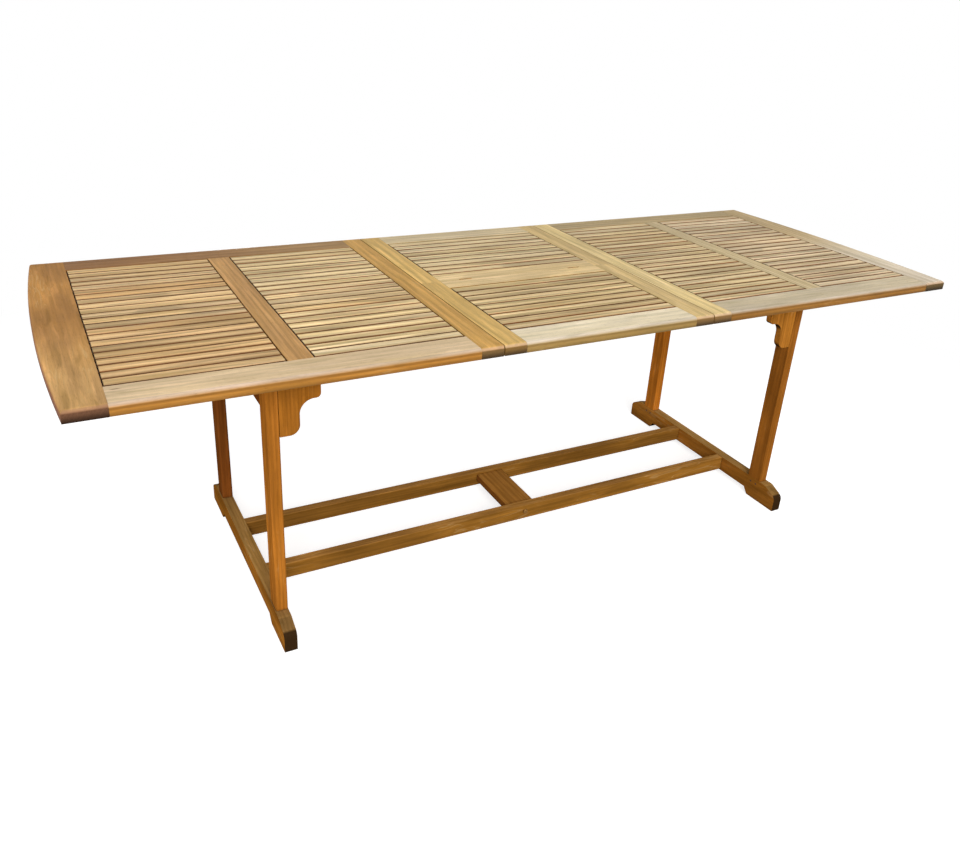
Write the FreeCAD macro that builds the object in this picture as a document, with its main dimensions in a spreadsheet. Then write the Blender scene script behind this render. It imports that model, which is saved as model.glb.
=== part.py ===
"""Extending garden table: two sliding slatted tops on a trestle base, with a folding butterfly leaf.

Frame: X runs along the table, -Y is the front, +Z is up, and the origin lies on the floor
under the middle of the table. The table stands extended, with the leaf up. All lengths are
in millimetres. Pieces are built for the right rear quarter and mirrored to the others.
"""
import FreeCAD, Part
import os
import re

import Sketcher

# Driving dimensions, one row of the sheet each.
SIZES = {
    # Whole table
    "top_length": 2400,
    "top_width": 900,
    "top_height": 740,
    "board_thickness": 25,
    "leaf_length": 600,
    "leaf_end_gap": 2.5,
    "leaf_fold_gap": 0.4,
    # Frames of the tops and the leaf
    "end_bow": 20,
    "end_rail_width": 78,
    "cross_rail_width": 55,
    "side_rail_width": 80,
    "leaf_fold_rail_width": 54,
    "top_edge_radius": 9,
    "frame_tenon_length": 24,
    "frame_tenon_thickness": 9,
    "frame_tenon_inset": 10,
    # Slats
    "slat_count": 22,
    "leaf_slat_count": 9,
    "slat_gap": 5,
    "slat_thickness": 18,
    "slat_end_gap": 2.5,
    "slat_tongue_length": 9,
    "slat_tongue_thickness": 8,
    "slat_tongue_inset": 3,
    "fit_clearance": 0.2,
    # Feet
    "foot_length": 740,
    "foot_width": 31,
    "foot_height": 68,
    "foot_end_height": 48,
    "foot_toe_length": 70,
    "foot_slope_length": 46,
    "foot_slope_radius": 18,
    "foot_pad_length": 114,
    "foot_relief": 20,
    "foot_relief_slope": 16,
    "feet_inside_span": 1522,
    "base_edge_radius": 3,
    # Legs and trestle rails
    "leg_thickness": 28,
    "leg_depth": 52,
    "leg_tenon_length": 38,
    "leg_top_tenon_length": 24,
    "tenon_thickness": 10,
    "tenon_inset": 6,
    "leg_pin_diameter": 6,
    "leg_pin_spacing": 22,
    "leg_pin_drop": 15,
    "trestle_rail_height": 63,
    "trestle_rail_thickness": 26,
    "trestle_tenon_length": 26,
    # Ogee brackets
    "bracket_reach": 95,
    "bracket_height": 122,
    "bracket_thickness": 21,
    "bracket_nose_height": 40,
    "bracket_stem_width": 46,
    "bracket_nose_radius": 11,
    "bracket_cove_radius": 34,
    "bracket_foot_radius": 24,
    # Stretchers and their tie
    "stretcher_height": 44,
    "stretcher_thickness": 28,
    "stretcher_spacing": 224,
    "stretcher_drop": 1,
    "stretcher_tenon_length": 20,
    "tie_width": 90,
    "tie_thickness": 22,
    "tie_drop": 7,
    "tie_bolt_diameter": 6,
    "tie_bolt_reach": 46,
    "tie_bolt_head_diameter": 14,
    "tie_bolt_head_height": 4,
    # Slide rails and runners
    "slide_rail_length": 1700,
    "slide_rail_width": 28,
    "slide_rail_height": 62,
    "slide_rail_end_taper": 30,
    "slide_clearance": 0.3,
    "slide_groove_height": 14,
    "slide_groove_depth": 12,
    "slide_groove_drop": 11,
    "runner_width": 34,
    "runner_height": 30,
    "runner_side_gap": 0.8,
    "runner_inner_inset": 6,
    "runner_end_lap": 50,
    "over_travel": 60,
    "stop_pin_diameter": 5,
    "stop_pin_inset": 50,
    "stop_pin_depth": 10,
    "runner_tenon_length": 30,
    "runner_tenon_width": 16,
    "runner_tenon_height": 10,
    # Leaf pivot
    "pivot_offset": 112,
    "pivot_bar_thickness": 28,
    "pivot_bar_height": 29,
    "pivot_bar_gap": 3,
    "pivot_bar_tenon_length": 14,
    "pivot_bolt_diameter": 10,
    "pivot_bolt_head_diameter": 17,
    "pivot_bolt_head_height": 6,
    "running_clearance": 0.1,
    "pivot_ear_thickness": 22,
    "pivot_ear_width": 44,
    "pivot_ear_radius": 18,
    "pivot_ear_inset": 6,
    "ear_tenon_thickness": 10,
    "ear_tenon_width": 32,
    "ear_tenon_height": 14,
    # Leaf hinges
    "hinge_count": 2,
    "hinge_spacing": 340,
    "hinge_length": 36,
    "hinge_plate_thickness": 1,
    "hinge_plate_height": 18,
    "hinge_knuckle_radius": 1.1,
    "hinge_pin_radius": 0.5,
    "hinge_axis_rise": 0.3,
    "hinge_end_clearance": 0.3,
    # One overrun for every through cut
    "overrun": 5,
}

# Sizes worked out from the driving ones, in the sheet's own formulas.
DERIVED = {
    "half_width": "top_width / 2",
    "underside": "top_height - board_thickness",
    "seam": "leaf_length / 2",
    "inner_panel_start": "seam + cross_rail_width",
    "panel_length": "(top_length / 2 - end_bow - end_rail_width - seam - 2 * cross_rail_width) / 2",
    "middle_start": "inner_panel_start + panel_length",
    "outer_panel_start": "middle_start + cross_rail_width",
    "end_start": "outer_panel_start + panel_length",
    "corner": "end_start + end_rail_width",
    "bow_radius": "(half_width ^ 2 + end_bow ^ 2) / (2 * end_bow)",
    "panel_half_width": "half_width - side_rail_width",
    "slat_width": "(2 * panel_half_width - (slat_count + 1) * slat_gap) / slat_count",
    "leaf_end": "seam - leaf_end_gap",
    "leaf_panel_half_length": "leaf_end - cross_rail_width",
    "leaf_panel_width": "panel_half_width - leaf_fold_rail_width",
    "leaf_slat_width": "(leaf_panel_width - (leaf_slat_count + 1) * slat_gap) / leaf_slat_count",
    "fold_face": "leaf_fold_gap / 2",
    "tenon_low": "underside + (board_thickness - frame_tenon_thickness) / 2",
    "tenon_high": "tenon_low + frame_tenon_thickness",
    "groove_reach": "slat_tongue_length - slat_end_gap + fit_clearance",
    "tongue_high": "top_height - (slat_thickness - slat_tongue_thickness) / 2",
    "tongue_low": "tongue_high - slat_tongue_thickness",
    "foot_inner": "feet_inside_span / 2",
    "foot_half": "foot_length / 2",
    "leg_outer": "foot_inner + leg_thickness",
    "leg_middle": "foot_inner + leg_thickness / 2",
    "leg_back": "foot_half - foot_toe_length",
    "leg_front": "leg_back - leg_depth",
    "leg_top": "underside - slide_clearance - slide_rail_height",
    "rail_top": "leg_top + slide_rail_height",
    "rail_inner": "leg_back - slide_rail_width",
    "rail_half": "slide_rail_length / 2",
    "slide_groove_high": "rail_top - slide_groove_drop",
    "slide_groove_low": "slide_groove_high - slide_groove_height",
    "stretcher_inner": "(stretcher_spacing - stretcher_thickness) / 2",
    "stretcher_outer": "stretcher_inner + stretcher_thickness",
    "stretcher_high": "foot_height - stretcher_drop",
    "stretcher_low": "stretcher_high - stretcher_height",
    "tie_high": "stretcher_high - tie_drop",
    "tie_low": "tie_high - tie_thickness",
    "tie_middle": "tie_high - tie_thickness / 2",
    "tie_bolt_end": "stretcher_inner - tie_bolt_reach",
    "runner_outer_face": "rail_inner - runner_side_gap",
    "runner_inner_face": "runner_outer_face - runner_width",
    "runner_middle": "runner_outer_face - runner_width / 2",
    "runner_low": "underside - runner_height",
    "runner_start": "seam + runner_inner_inset",
    "runner_end": "end_start + runner_end_lap",
    "stop_pin_x": "rail_half - stop_pin_inset",
    "stop_pin_y": "rail_inner + slide_groove_depth / 2",
    "stop_pin_low": "slide_groove_low - stop_pin_depth",
    "stop_slot_side": "stop_pin_diameter / 2 + slide_clearance",
    "pivot_z": "leg_top + pivot_bar_height / 2",
    "pivot_bar_start": "leaf_end + pivot_bar_gap",
    "pivot_bar_end": "pivot_bar_start + pivot_bar_thickness",
    "pivot_ear_outer": "leaf_end - pivot_ear_inset",
    "pivot_ear_inner": "pivot_ear_outer - pivot_ear_thickness",
    "pivot_ear_low": "pivot_z - pivot_ear_width / 2",
    "pivot_ear_middle": "pivot_ear_inner + pivot_ear_thickness / 2",
    "hinge_z": "top_height + hinge_axis_rise",
    "hinge_recess_face": "fold_face + hinge_plate_thickness",
    "hinge_relief": "hinge_knuckle_radius + hinge_end_clearance",
}

# Places along a piece, as shares of that piece's size.
KNUCKLE_SHARES = {"first": (0, 1 / 3), "middle": (1 / 3, 2 / 3), "last": (2 / 3, 1)}

document = FreeCAD.newDocument("extending_table")
sheet = document.addObject("Spreadsheet::Sheet", "Sizes")
for row, (alias, size) in enumerate(SIZES.items(), start=1):
    sheet.set("A%d" % row, alias)
    sheet.set("B%d" % row, str(size))
    sheet.setAlias("B%d" % row, alias)
document.recompute()

nodes = {}


def formula(text):
    """Turn the names in a formula into references to the sheet."""
    def reference(match):
        name = match.group()
        if name in SIZES:
            return "Sizes." + name
        return "(" + formula(DERIVED[name]) + ")"
    return re.sub(r"[a-z_]+", reference, text)


def number(text):
    """The value of a formula, for code that needs a plain number."""
    return float(sheet.evalExpression(formula(text)))


def bind(thing, **formulas):
    """Bind properties of an object to formulas; a double underscore stands for a dot."""
    for path, text in formulas.items():
        thing.setExpression(path.replace("__", "."), formula(text))


def place(thing, x="0", y="0", z="0"):
    bind(thing, Placement__Base__x=x, Placement__Base__y=y, Placement__Base__z=z)


def grown(span, by="fit_clearance"):
    """A span of two formulas, widened at both ends by a clearance."""
    low, high = span
    return "%s - %s" % (low, by), "%s + %s" % (high, by)


def mirrored_span(span):
    low, high = span
    return "-(%s)" % high, "-(%s)" % low


def board(name, x, y, z):
    """A square-cut board between three pairs of formulas."""
    block = document.addObject("Part::Box", name)
    spans = (x, y, z)
    for side, (low, high) in zip(("Length", "Width", "Height"), spans):
        bind(block, **{side: "%s - (%s)" % (high, low)})
    place(block, x[0], y[0], z[0])
    return block


AXIS_TURNS = {
    "x": FreeCAD.Rotation(FreeCAD.Vector(0, 1, 0), 90),
    "y": FreeCAD.Rotation(FreeCAD.Vector(1, 0, 0), -90),
    "z": FreeCAD.Rotation(),
}


def rod(name, axis, radius, span, **across):
    """A round bar along one axis, between the two formulas of its span."""
    bar = document.addObject("Part::Cylinder", name)
    bar.Placement = FreeCAD.Placement(FreeCAD.Vector(), AXIS_TURNS[axis])
    low, high = span
    bind(bar, Radius=radius, Height="%s - (%s)" % (high, low))
    place(bar, **{axis: low}, **across)
    return bar


def fused(name, pieces):
    whole = document.addObject("Part::MultiFuse", name)
    whole.Shapes = pieces
    whole.Refine = True
    return whole


def grouped(name, pieces):
    group = document.addObject("Part::Compound", name)
    group.Links = pieces
    return group


def cut(name, base, tools):
    """The base with every tool taken away."""
    result = document.addObject("Part::Cut", name)
    result.Base = base
    result.Tool = tools[0] if len(tools) == 1 else grouped(name + "_tools", tools)
    return result


def mirrored(name, source, normal):
    copy = document.addObject("Part::Mirroring", name)
    copy.Source = source
    copy.Normal = normal
    return copy


ACROSS_X = FreeCAD.Vector(1, 0, 0)
ACROSS_Y = FreeCAD.Vector(0, 1, 0)


def node(name, piece):
    """Name a finished piece; the name is also that of its file."""
    piece.Label = name
    nodes[name] = piece
    return piece


def left_and_right(kind, right_piece):
    node("right_" + kind, right_piece)
    return node("left_" + kind, mirrored("left_" + kind, right_piece, ACROSS_X))


def front_and_rear(kind, rear_piece, side=""):
    node(side + "rear_" + kind, rear_piece)
    front = mirrored(side + "front_" + kind, rear_piece, ACROSS_Y)
    return node(side + "front_" + kind, front)


def four_corners(kind, right_rear_piece):
    right_front_piece = front_and_rear(kind, right_rear_piece, "right_")
    for name, source in (("left_rear_", right_rear_piece), ("left_front_", right_front_piece)):
        node(name + kind, mirrored(name + kind, source, ACROSS_X))


def outline(body, plane, points):
    """A closed sketch of straight lines through points given as pairs of formulas."""
    sketch = body.newObject("Sketcher::SketchObject", body.Name + "_outline")
    support = next(item for item in body.Origin.OriginFeatures if item.Role == plane)
    sketch.AttachmentSupport = [(support, "")]
    sketch.MapMode = "FlatFace"
    corners = [FreeCAD.Vector(number(across), number(up), 0) for across, up in points]
    count = len(corners)
    for index, corner in enumerate(corners):
        sketch.addGeometry(Part.LineSegment(corner, corners[(index + 1) % count]), False)
    for index in range(count):
        sketch.addConstraint(Sketcher.Constraint("Coincident", index, 2, (index + 1) % count, 1))
    for index, pair in enumerate(points):
        for direction, own_axis, text in (("DistanceX", -2, pair[0]), ("DistanceY", -1, pair[1])):
            if text == "0":
                sketch.addConstraint(Sketcher.Constraint("PointOnObject", index, 1, own_axis))
                continue
            held = sketch.addConstraint(
                Sketcher.Constraint(direction, -1, 1, index, 1, number(text)))
            sketch.setExpression("Constraints[%d]" % held, formula(text))
    return sketch


def padded(name, plane, points, depth):
    """A body whose outline is drawn on one of its origin planes and padded."""
    body = document.addObject("PartDesign::Body", name)
    pad = body.newObject("PartDesign::Pad", name + "_pad")
    pad.Profile = outline(body, plane, points)
    bind(pad, Length=depth)
    document.recompute()
    return body


def rounded(body, radius, picks):
    """Round the edges of a body's tip, seen in the body's own frame, for which picks(edge) is true."""
    base = body.Tip
    edges = [
        "Edge%d" % place_in_list
        for place_in_list, edge in enumerate(base.Shape.Edges, start=1)
        if picks(edge)
    ]
    fillet = body.newObject("PartDesign::Fillet", body.Name + "_round")
    fillet.Base = (base, edges)
    bind(fillet, Radius=radius)
    document.recompute()
    return body


def runs_along(edge, axis):
    """True for a straight edge that runs along one axis."""
    box = edge.BoundBox
    sizes = {"x": box.XLength, "y": box.YLength, "z": box.ZLength}
    return edge.Length > 0 and abs(sizes[axis] - edge.Length) < 1e-6 * edge.Length


def at(place_on_axis, text):
    """True where a coordinate equals a formula's value."""
    return abs(place_on_axis - number(text)) < 1e-6 * number("top_length")


def middle_of(edge):
    return edge.BoundBox.Center


def plain_bar(name, x, y, z, long_axis, radius="base_edge_radius"):
    """A bar with its four long edges softened."""
    planes = {"x": ("YZ_Plane", y, z, x), "y": ("XZ_Plane", x, z, y), "z": ("XY_Plane", x, y, z)}
    plane, across, up, along = planes[long_axis]
    points = [(across[0], up[0]), (across[1], up[0]), (across[1], up[1]), (across[0], up[1])]
    body = padded(name, plane, points, "%s - (%s)" % (along[1], along[0]))
    start = along[1] if long_axis == "y" else along[0]
    place(body, **{long_axis: start})
    return rounded(body, radius, lambda edge: runs_along(edge, long_axis))


# The trestle base

def make_feet():
    """A relieved foot with sloped ends, mortised for two legs and two stretchers."""
    pad_end = "foot_half - foot_pad_length"
    relief_end = pad_end + " - foot_relief_slope"
    slope_start = "foot_half - foot_slope_length"
    rear_half = [
        (relief_end, "foot_relief"), (pad_end, "0"), ("foot_half", "0"),
        ("foot_half", "foot_end_height"), (slope_start, "foot_height"),
    ]
    front_half = [("-(%s)" % across, up) for across, up in reversed(rear_half)]
    body = padded("right_foot_body", "YZ_Plane", rear_half + front_half, "foot_width")
    place(body, x="foot_inner")

    def on_slope(edge):
        middle = middle_of(edge)
        top_bend = at(abs(middle.y), slope_start) and at(middle.z, "foot_height")
        nose = at(abs(middle.y), "foot_half") and at(middle.z, "foot_end_height")
        return runs_along(edge, "x") and (top_bend or nose)

    rounded(body, "foot_slope_radius", on_slope)
    mortises = []
    for side in ("rear", "front"):
        spans = leg_tenon_span(), ("stretcher_inner + tenon_inset", "stretcher_outer - tenon_inset")
        leg_y, stretcher_y = spans if side == "rear" else [mirrored_span(span) for span in spans]
        mortises.append(board(side + "_leg_mortise", grown(LEG_TENON_X), grown(leg_y),
                              ("foot_height - leg_tenon_length - fit_clearance",
                               "foot_height + overrun")))
        mortises.append(board(side + "_stretcher_mortise",
                              ("foot_inner - overrun", "foot_inner + stretcher_tenon_length + fit_clearance"),
                              grown(stretcher_y), grown(STRETCHER_TENON_Z)))
    for index, place_y in enumerate(leg_pin_places()):
        mortises.append(rod("foot_pin_hole_%d" % index, "x", "leg_pin_diameter / 2",
                            ("foot_inner - overrun", "leg_middle"), y=place_y, z=LEG_PIN_Z))
    left_and_right("foot", cut("right_foot_cut", body, mortises))


LEG_TENON_X = ("leg_middle - tenon_thickness / 2", "leg_middle + tenon_thickness / 2")
STRETCHER_TENON_Z = ("stretcher_low + tenon_inset", "stretcher_high - tenon_inset")
LEG_PIN_Z = "foot_height - leg_pin_drop"
LEG_PIN_END = "leg_middle + tenon_thickness / 2"


def leg_tenon_span():
    return "leg_front + tenon_inset", "leg_back - tenon_inset"


def leg_pin_places():
    """Middles of the two pins of the rear leg, then of the front leg."""
    leg_centre = "leg_back - leg_depth / 2"
    rear = [leg_centre + " - leg_pin_spacing / 2", leg_centre + " + leg_pin_spacing / 2"]
    return rear + ["-(%s)" % text for text in rear]


def make_legs():
    """A leg tenoned into its foot below and into the slide rail above."""
    bar = plain_bar("leg_bar", ("foot_inner", "leg_outer"), ("leg_front", "leg_back"),
                    ("foot_height", "leg_top"), "z")
    foot_tenon = board("leg_foot_tenon", LEG_TENON_X, leg_tenon_span(),
                       ("foot_height - leg_tenon_length", "foot_height + tenon_inset"))
    top_tenon = board("leg_top_tenon", LEG_TENON_X, RAIL_TENON_Y,
                      ("leg_top - tenon_inset", "leg_top + leg_top_tenon_length"))
    holes = [
        rod("leg_pin_hole_%d" % index, "x", "leg_pin_diameter / 2",
            ("foot_inner - overrun", "leg_outer"), y=place_y, z=LEG_PIN_Z)
        for index, place_y in enumerate(leg_pin_places()[:2])
    ]
    mortise = board("leg_rail_mortise", grown(TRESTLE_TENON_X),
                    ("leg_front - overrun", "leg_front + trestle_tenon_length + fit_clearance"),
                    grown(TRESTLE_TENON_Z))
    whole = fused("leg_whole", [bar, foot_tenon, top_tenon])
    four_corners("leg", cut("right_rear_leg_cut", whole, holes + [mortise]))


RAIL_TENON_Y = ("rail_inner + tenon_inset", "leg_back - tenon_inset")
TRESTLE_TENON_X = ("leg_middle - tenon_thickness / 2", "leg_middle + tenon_thickness / 2")
TRESTLE_TENON_Z = ("leg_top - trestle_rail_height + tenon_inset", "leg_top - 2 * tenon_inset")


def make_leg_pins():
    """Two pins through each leg tenon, flush with the inner face of the foot."""
    right = [
        rod("leg_pin_%d" % index, "x", "leg_pin_diameter / 2", ("foot_inner", LEG_PIN_END),
            y=place_y, z=LEG_PIN_Z)
        for index, place_y in enumerate(leg_pin_places())
    ]
    left = [mirrored("left_leg_pin_%d" % index, pin, ACROSS_X) for index, pin in enumerate(right)]
    node("leg_pins", grouped("leg_pin_group", right + left))


def make_trestle_rails():
    """The rail that ties the heads of a front and a rear leg."""
    middle = "leg_middle"
    x = (middle + " - trestle_rail_thickness / 2", middle + " + trestle_rail_thickness / 2")
    bar = board("trestle_bar", x, ("-leg_front", "leg_front"), ("leg_top - trestle_rail_height", "leg_top"))
    tenon = board("trestle_tenon", TRESTLE_TENON_X,
                  ("-(leg_front + trestle_tenon_length)", "leg_front + trestle_tenon_length"),
                  TRESTLE_TENON_Z)
    left_and_right("trestle_rail", fused("trestle_rail_whole", [bar, tenon]))


def make_brackets():
    """The ogee bracket in the angle of a leg and its slide rail."""
    leg_face = "foot_inner"
    nose = leg_face + " - bracket_reach"
    stem = leg_face + " - bracket_stem_width"
    nose_foot = "leg_top - bracket_nose_height"
    foot = "leg_top - bracket_height"
    points = [
        (leg_face, "leg_top"), (nose, "leg_top"), (nose, nose_foot),
        (stem, nose_foot), (stem, foot), (leg_face, foot),
    ]
    body = padded("right_rear_bracket_body", "XZ_Plane", points, "bracket_thickness")
    place(body, y="leg_back")
    bends = (
        ("bracket_nose_radius", nose, nose_foot),
        ("bracket_cove_radius", stem, nose_foot),
        ("bracket_foot_radius", stem, foot),
    )
    for radius, across, up in bends:
        rounded(body, radius, lambda edge: runs_along(edge, "y")
                and at(middle_of(edge).x, across) and at(middle_of(edge).z, up))
    four_corners("bracket", body)


def make_stretchers():
    """The two long stretchers between the feet, bored for the bolt that holds the tie."""
    bar = plain_bar("stretcher_bar", ("-foot_inner", "foot_inner"),
                    ("stretcher_inner", "stretcher_outer"), ("stretcher_low", "stretcher_high"), "x")
    tenon = board("stretcher_tenon",
                  ("-(foot_inner + stretcher_tenon_length)", "foot_inner + stretcher_tenon_length"),
                  ("stretcher_inner + tenon_inset", "stretcher_outer - tenon_inset"), STRETCHER_TENON_Z)
    hole = rod("stretcher_bolt_hole", "y", TIE_BOLT_HOLE,
               ("stretcher_inner - overrun", "stretcher_outer + overrun"), z="tie_middle")
    whole = fused("stretcher_whole", [bar, tenon])
    front_and_rear("stretcher", cut("rear_stretcher_cut", whole, [hole]))


TIE_BOLT_HOLE = "tie_bolt_diameter / 2 + fit_clearance"


def make_tie():
    """The short board between the stretchers, with the bolts that screw into its ends."""
    plate = plain_bar("tie_plate", ("-tie_width / 2", "tie_width / 2"),
                      ("-stretcher_inner", "stretcher_inner"), ("tie_low", "tie_high"), "y")
    shank = rod("tie_bolt_shank", "y", "tie_bolt_diameter / 2", ("tie_bolt_end", "stretcher_outer"),
                z="tie_middle")
    head = rod("tie_bolt_head", "y", "tie_bolt_head_diameter / 2",
               ("stretcher_outer", "stretcher_outer + tie_bolt_head_height"), z="tie_middle")
    bore = rod("tie_bore", "y", "tie_bolt_diameter / 2", ("tie_bolt_end", "stretcher_inner + overrun"),
               z="tie_middle")
    bolt = fused("rear_tie_bolt", [shank, head])
    node("stretcher_tie", cut("tie_cut", plate, [bore, mirrored("front_tie_bore", bore, ACROSS_Y)]))
    node("tie_bolts", grouped("tie_bolt_group", [bolt, mirrored("front_tie_bolt", bolt, ACROSS_Y)]))


def make_slide_rails():
    """The grooved rails on the legs, along which the runners of the tops slide."""
    taper = "slide_rail_end_taper"
    right_end = [
        ("rail_half - " + taper, "leg_top"), ("rail_half", "leg_top + " + taper), ("rail_half", "rail_top"),
    ]
    left_end = [("-(%s)" % across, up) for across, up in reversed(right_end)]
    body = padded("rear_slide_rail_body", "XZ_Plane", right_end + left_end, "slide_rail_width")
    place(body, y="leg_back")
    tools = [board("slide_groove", ("-rail_half - overrun", "rail_half + overrun"),
                   ("rail_inner - overrun", "rail_inner + slide_groove_depth"),
                   ("slide_groove_low", "slide_groove_high"))]
    for side in ("right", "left"):
        turn = (lambda span: span) if side == "right" else mirrored_span
        tools.append(board(side + "_leg_socket", turn(grown(LEG_TENON_X)), grown(RAIL_TENON_Y),
                           ("leg_top - overrun", "leg_top + leg_top_tenon_length + fit_clearance")))
        tools.append(board(side + "_bar_socket", turn(grown(PIVOT_TENON_X)),
                           ("rail_inner - overrun", "rail_inner + pivot_bar_tenon_length + fit_clearance"),
                           grown(PIVOT_TENON_Z)))
        place_x = "stop_pin_x" if side == "right" else "-stop_pin_x"
        tools.append(rod(side + "_stop_pin_hole", "z", "stop_pin_diameter / 2",
                         ("stop_pin_low", "rail_top + overrun"), x=place_x, y="stop_pin_y"))
    front_and_rear("slide_rail", cut("rear_slide_rail_cut", body, tools))


def make_stop_pins():
    """Upright pins across the grooves, which stop the runners at both ends of their travel."""
    first = rod("right_rear_stop_pin", "z", "stop_pin_diameter / 2", ("stop_pin_low", "rail_top"),
                x="stop_pin_x", y="stop_pin_y")
    second = mirrored("left_rear_stop_pin", first, ACROSS_X)
    fronts = [mirrored(pin.Name + "_front", pin, ACROSS_Y) for pin in (first, second)]
    node("stop_pins", grouped("stop_pin_group", [first, second] + fronts))


PIVOT_TENON_X = ("pivot_bar_start + tenon_inset", "pivot_bar_end - tenon_inset")
PIVOT_TENON_Z = ("leg_top + tenon_inset", "leg_top + pivot_bar_height - tenon_inset")


def make_pivot_bars():
    """Bars between the slide rails, just beyond the ends of the leaf, that carry its pivot bolts."""
    bar = board("pivot_bar_stock", ("pivot_bar_start", "pivot_bar_end"),
                ("-rail_inner", "rail_inner"), ("leg_top", "leg_top + pivot_bar_height"))
    tenon = board("pivot_bar_tenon", PIVOT_TENON_X,
                  ("-(rail_inner + pivot_bar_tenon_length)", "rail_inner + pivot_bar_tenon_length"),
                  PIVOT_TENON_Z)
    hole = rod("pivot_bar_hole", "x", "pivot_bolt_diameter / 2",
               ("pivot_bar_start - overrun", "pivot_bar_end + overrun"), y="pivot_offset", z="pivot_z")
    whole = fused("pivot_bar_whole", [bar, tenon])
    left_and_right("pivot_bar", cut("right_pivot_bar_cut", whole, [hole]))
    shank = rod("pivot_bolt_shank", "x", "pivot_bolt_diameter / 2",
                ("pivot_ear_inner", "pivot_bar_end"), y="pivot_offset", z="pivot_z")
    head = rod("pivot_bolt_head", "x", "pivot_bolt_head_diameter / 2",
               ("pivot_bar_end", "pivot_bar_end + pivot_bolt_head_height"), y="pivot_offset", z="pivot_z")
    right = fused("right_pivot_bolt", [shank, head])
    node("pivot_bolts", grouped("pivot_bolt_group", [right, mirrored("left_pivot_bolt", right, ACROSS_X)]))


# The two sliding tops

BOARD_Z = ("underside", "top_height")
FRAME_TENON_Z = ("tenon_low", "tenon_high")
GROOVE_Z = grown(("tongue_low", "tongue_high"))
SIDE_TENON_Y = ("panel_half_width + frame_tenon_inset", "half_width - frame_tenon_inset")
MIDDLE_TENON_X = ("middle_start + frame_tenon_inset", "outer_panel_start - frame_tenon_inset")
PANEL_Y = ("-panel_half_width", "panel_half_width")


def tenon_pockets(name, x):
    """Mortises for the tenons of the front and rear side rails."""
    return [
        board(name + "_rear_mortise", x, grown(SIDE_TENON_Y), grown(FRAME_TENON_Z)),
        board(name + "_front_mortise", x, mirrored_span(grown(SIDE_TENON_Y)), grown(FRAME_TENON_Z)),
    ]


def runner_tenon(name, middle_x, by="0"):
    """A stub tenon on top of the rear runner, or with a clearance the mortise for it."""
    x = ("%s - runner_tenon_length / 2" % middle_x, "%s + runner_tenon_length / 2" % middle_x)
    y = ("runner_middle - runner_tenon_width / 2", "runner_middle + runner_tenon_width / 2")
    height = ("runner_low + tenon_inset", "underside + runner_tenon_height + " + by)
    return board(name, grown(x, by), grown(y, by), height)


def runner_mortises(name, middle_x):
    """Mortises in a cross rail of a top for the tenons of the rear and front runners."""
    rear = runner_tenon(name + "_rear_runner_mortise", middle_x, "fit_clearance")
    return [rear, mirrored(name + "_front_runner_mortise", rear, ACROSS_Y)]


def outer_top_edge(edge):
    """True for a top edge along X at the front or rear side of the table."""
    middle = middle_of(edge)
    return runs_along(edge, "x") and at(middle.z, "top_height") and at(abs(middle.y), "half_width")


def make_inner_rails():
    """The full-width rail of a top where it meets the leaf."""
    points = [("-half_width", "underside"), ("half_width", "underside"),
              ("half_width", "top_height"), ("-half_width", "top_height")]
    body = padded("right_inner_rail_body", "YZ_Plane", points, "cross_rail_width")
    place(body, x="seam")
    rounded(body, "top_edge_radius", outer_top_edge)
    groove = board("inner_rail_groove", ("inner_panel_start - groove_reach", "inner_panel_start + overrun"),
                   PANEL_Y, GROOVE_Z)
    mortise_x = ("inner_panel_start - frame_tenon_length - fit_clearance", "inner_panel_start + overrun")
    tools = [groove] + tenon_pockets("inner_rail", mortise_x)
    tools += runner_mortises("inner_rail", RUNNER_TENON_PLACES["inner"])
    left_and_right("inner_rail", cut("right_inner_rail_cut", body, tools))


RUNNER_TENON_PLACES = {
    "inner": "seam + cross_rail_width / 2",
    "middle": "middle_start + cross_rail_width / 2",
    "end": "end_start + runner_end_lap / 2",
}


def make_end_rails():
    """The full-width end rail, bowed outwards in plan."""
    body = document.addObject("PartDesign::Body", "right_end_rail_body")
    points = [("corner", "half_width"), ("end_start", "half_width"),
              ("end_start", "-half_width"), ("corner", "-half_width")]
    sketch = outline(body, "XY_Plane", points)
    chord = len(points) - 1
    sketch.toggleConstruction(chord)
    radius = number("bow_radius")
    spread = FreeCAD.Units.Quantity(sheet.evalExpression("asin(%s)" % formula("half_width / bow_radius")))
    turn = spread.getValueAs("rad").Value
    centre = FreeCAD.Vector(number("corner + end_bow - bow_radius"), 0, 0)
    circle = Part.Circle(centre, FreeCAD.Vector(0, 0, 1), radius)
    bow = sketch.addGeometry(Part.ArcOfCircle(circle, -turn, turn), False)
    sketch.addConstraint(Sketcher.Constraint("Coincident", bow, 1, chord, 1))
    sketch.addConstraint(Sketcher.Constraint("Coincident", bow, 2, chord, 2))
    held = sketch.addConstraint(Sketcher.Constraint("Radius", bow, radius))
    sketch.setExpression("Constraints[%d]" % held, formula("bow_radius"))
    pad = body.newObject("PartDesign::Pad", "right_end_rail_pad")
    pad.Profile = sketch
    bind(pad, Length="board_thickness")
    place(body, z="underside")
    document.recompute()

    def outer_rim(edge):
        box = edge.BoundBox
        on_top = at(box.ZMin, "board_thickness") and at(box.ZMax, "board_thickness")
        return on_top and not at(box.XMax, "end_start")

    rounded(body, "top_edge_radius", outer_rim)
    groove = board("end_rail_groove", ("end_start - overrun", "end_start + groove_reach"), PANEL_Y, GROOVE_Z)
    mortise_x = ("end_start - overrun", "end_start + frame_tenon_length + fit_clearance")
    tools = [groove] + tenon_pockets("end_rail", mortise_x)
    tools += runner_mortises("end_rail", RUNNER_TENON_PLACES["end"])
    left_and_right("end_rail", cut("right_end_rail_cut", body, tools))


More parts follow.
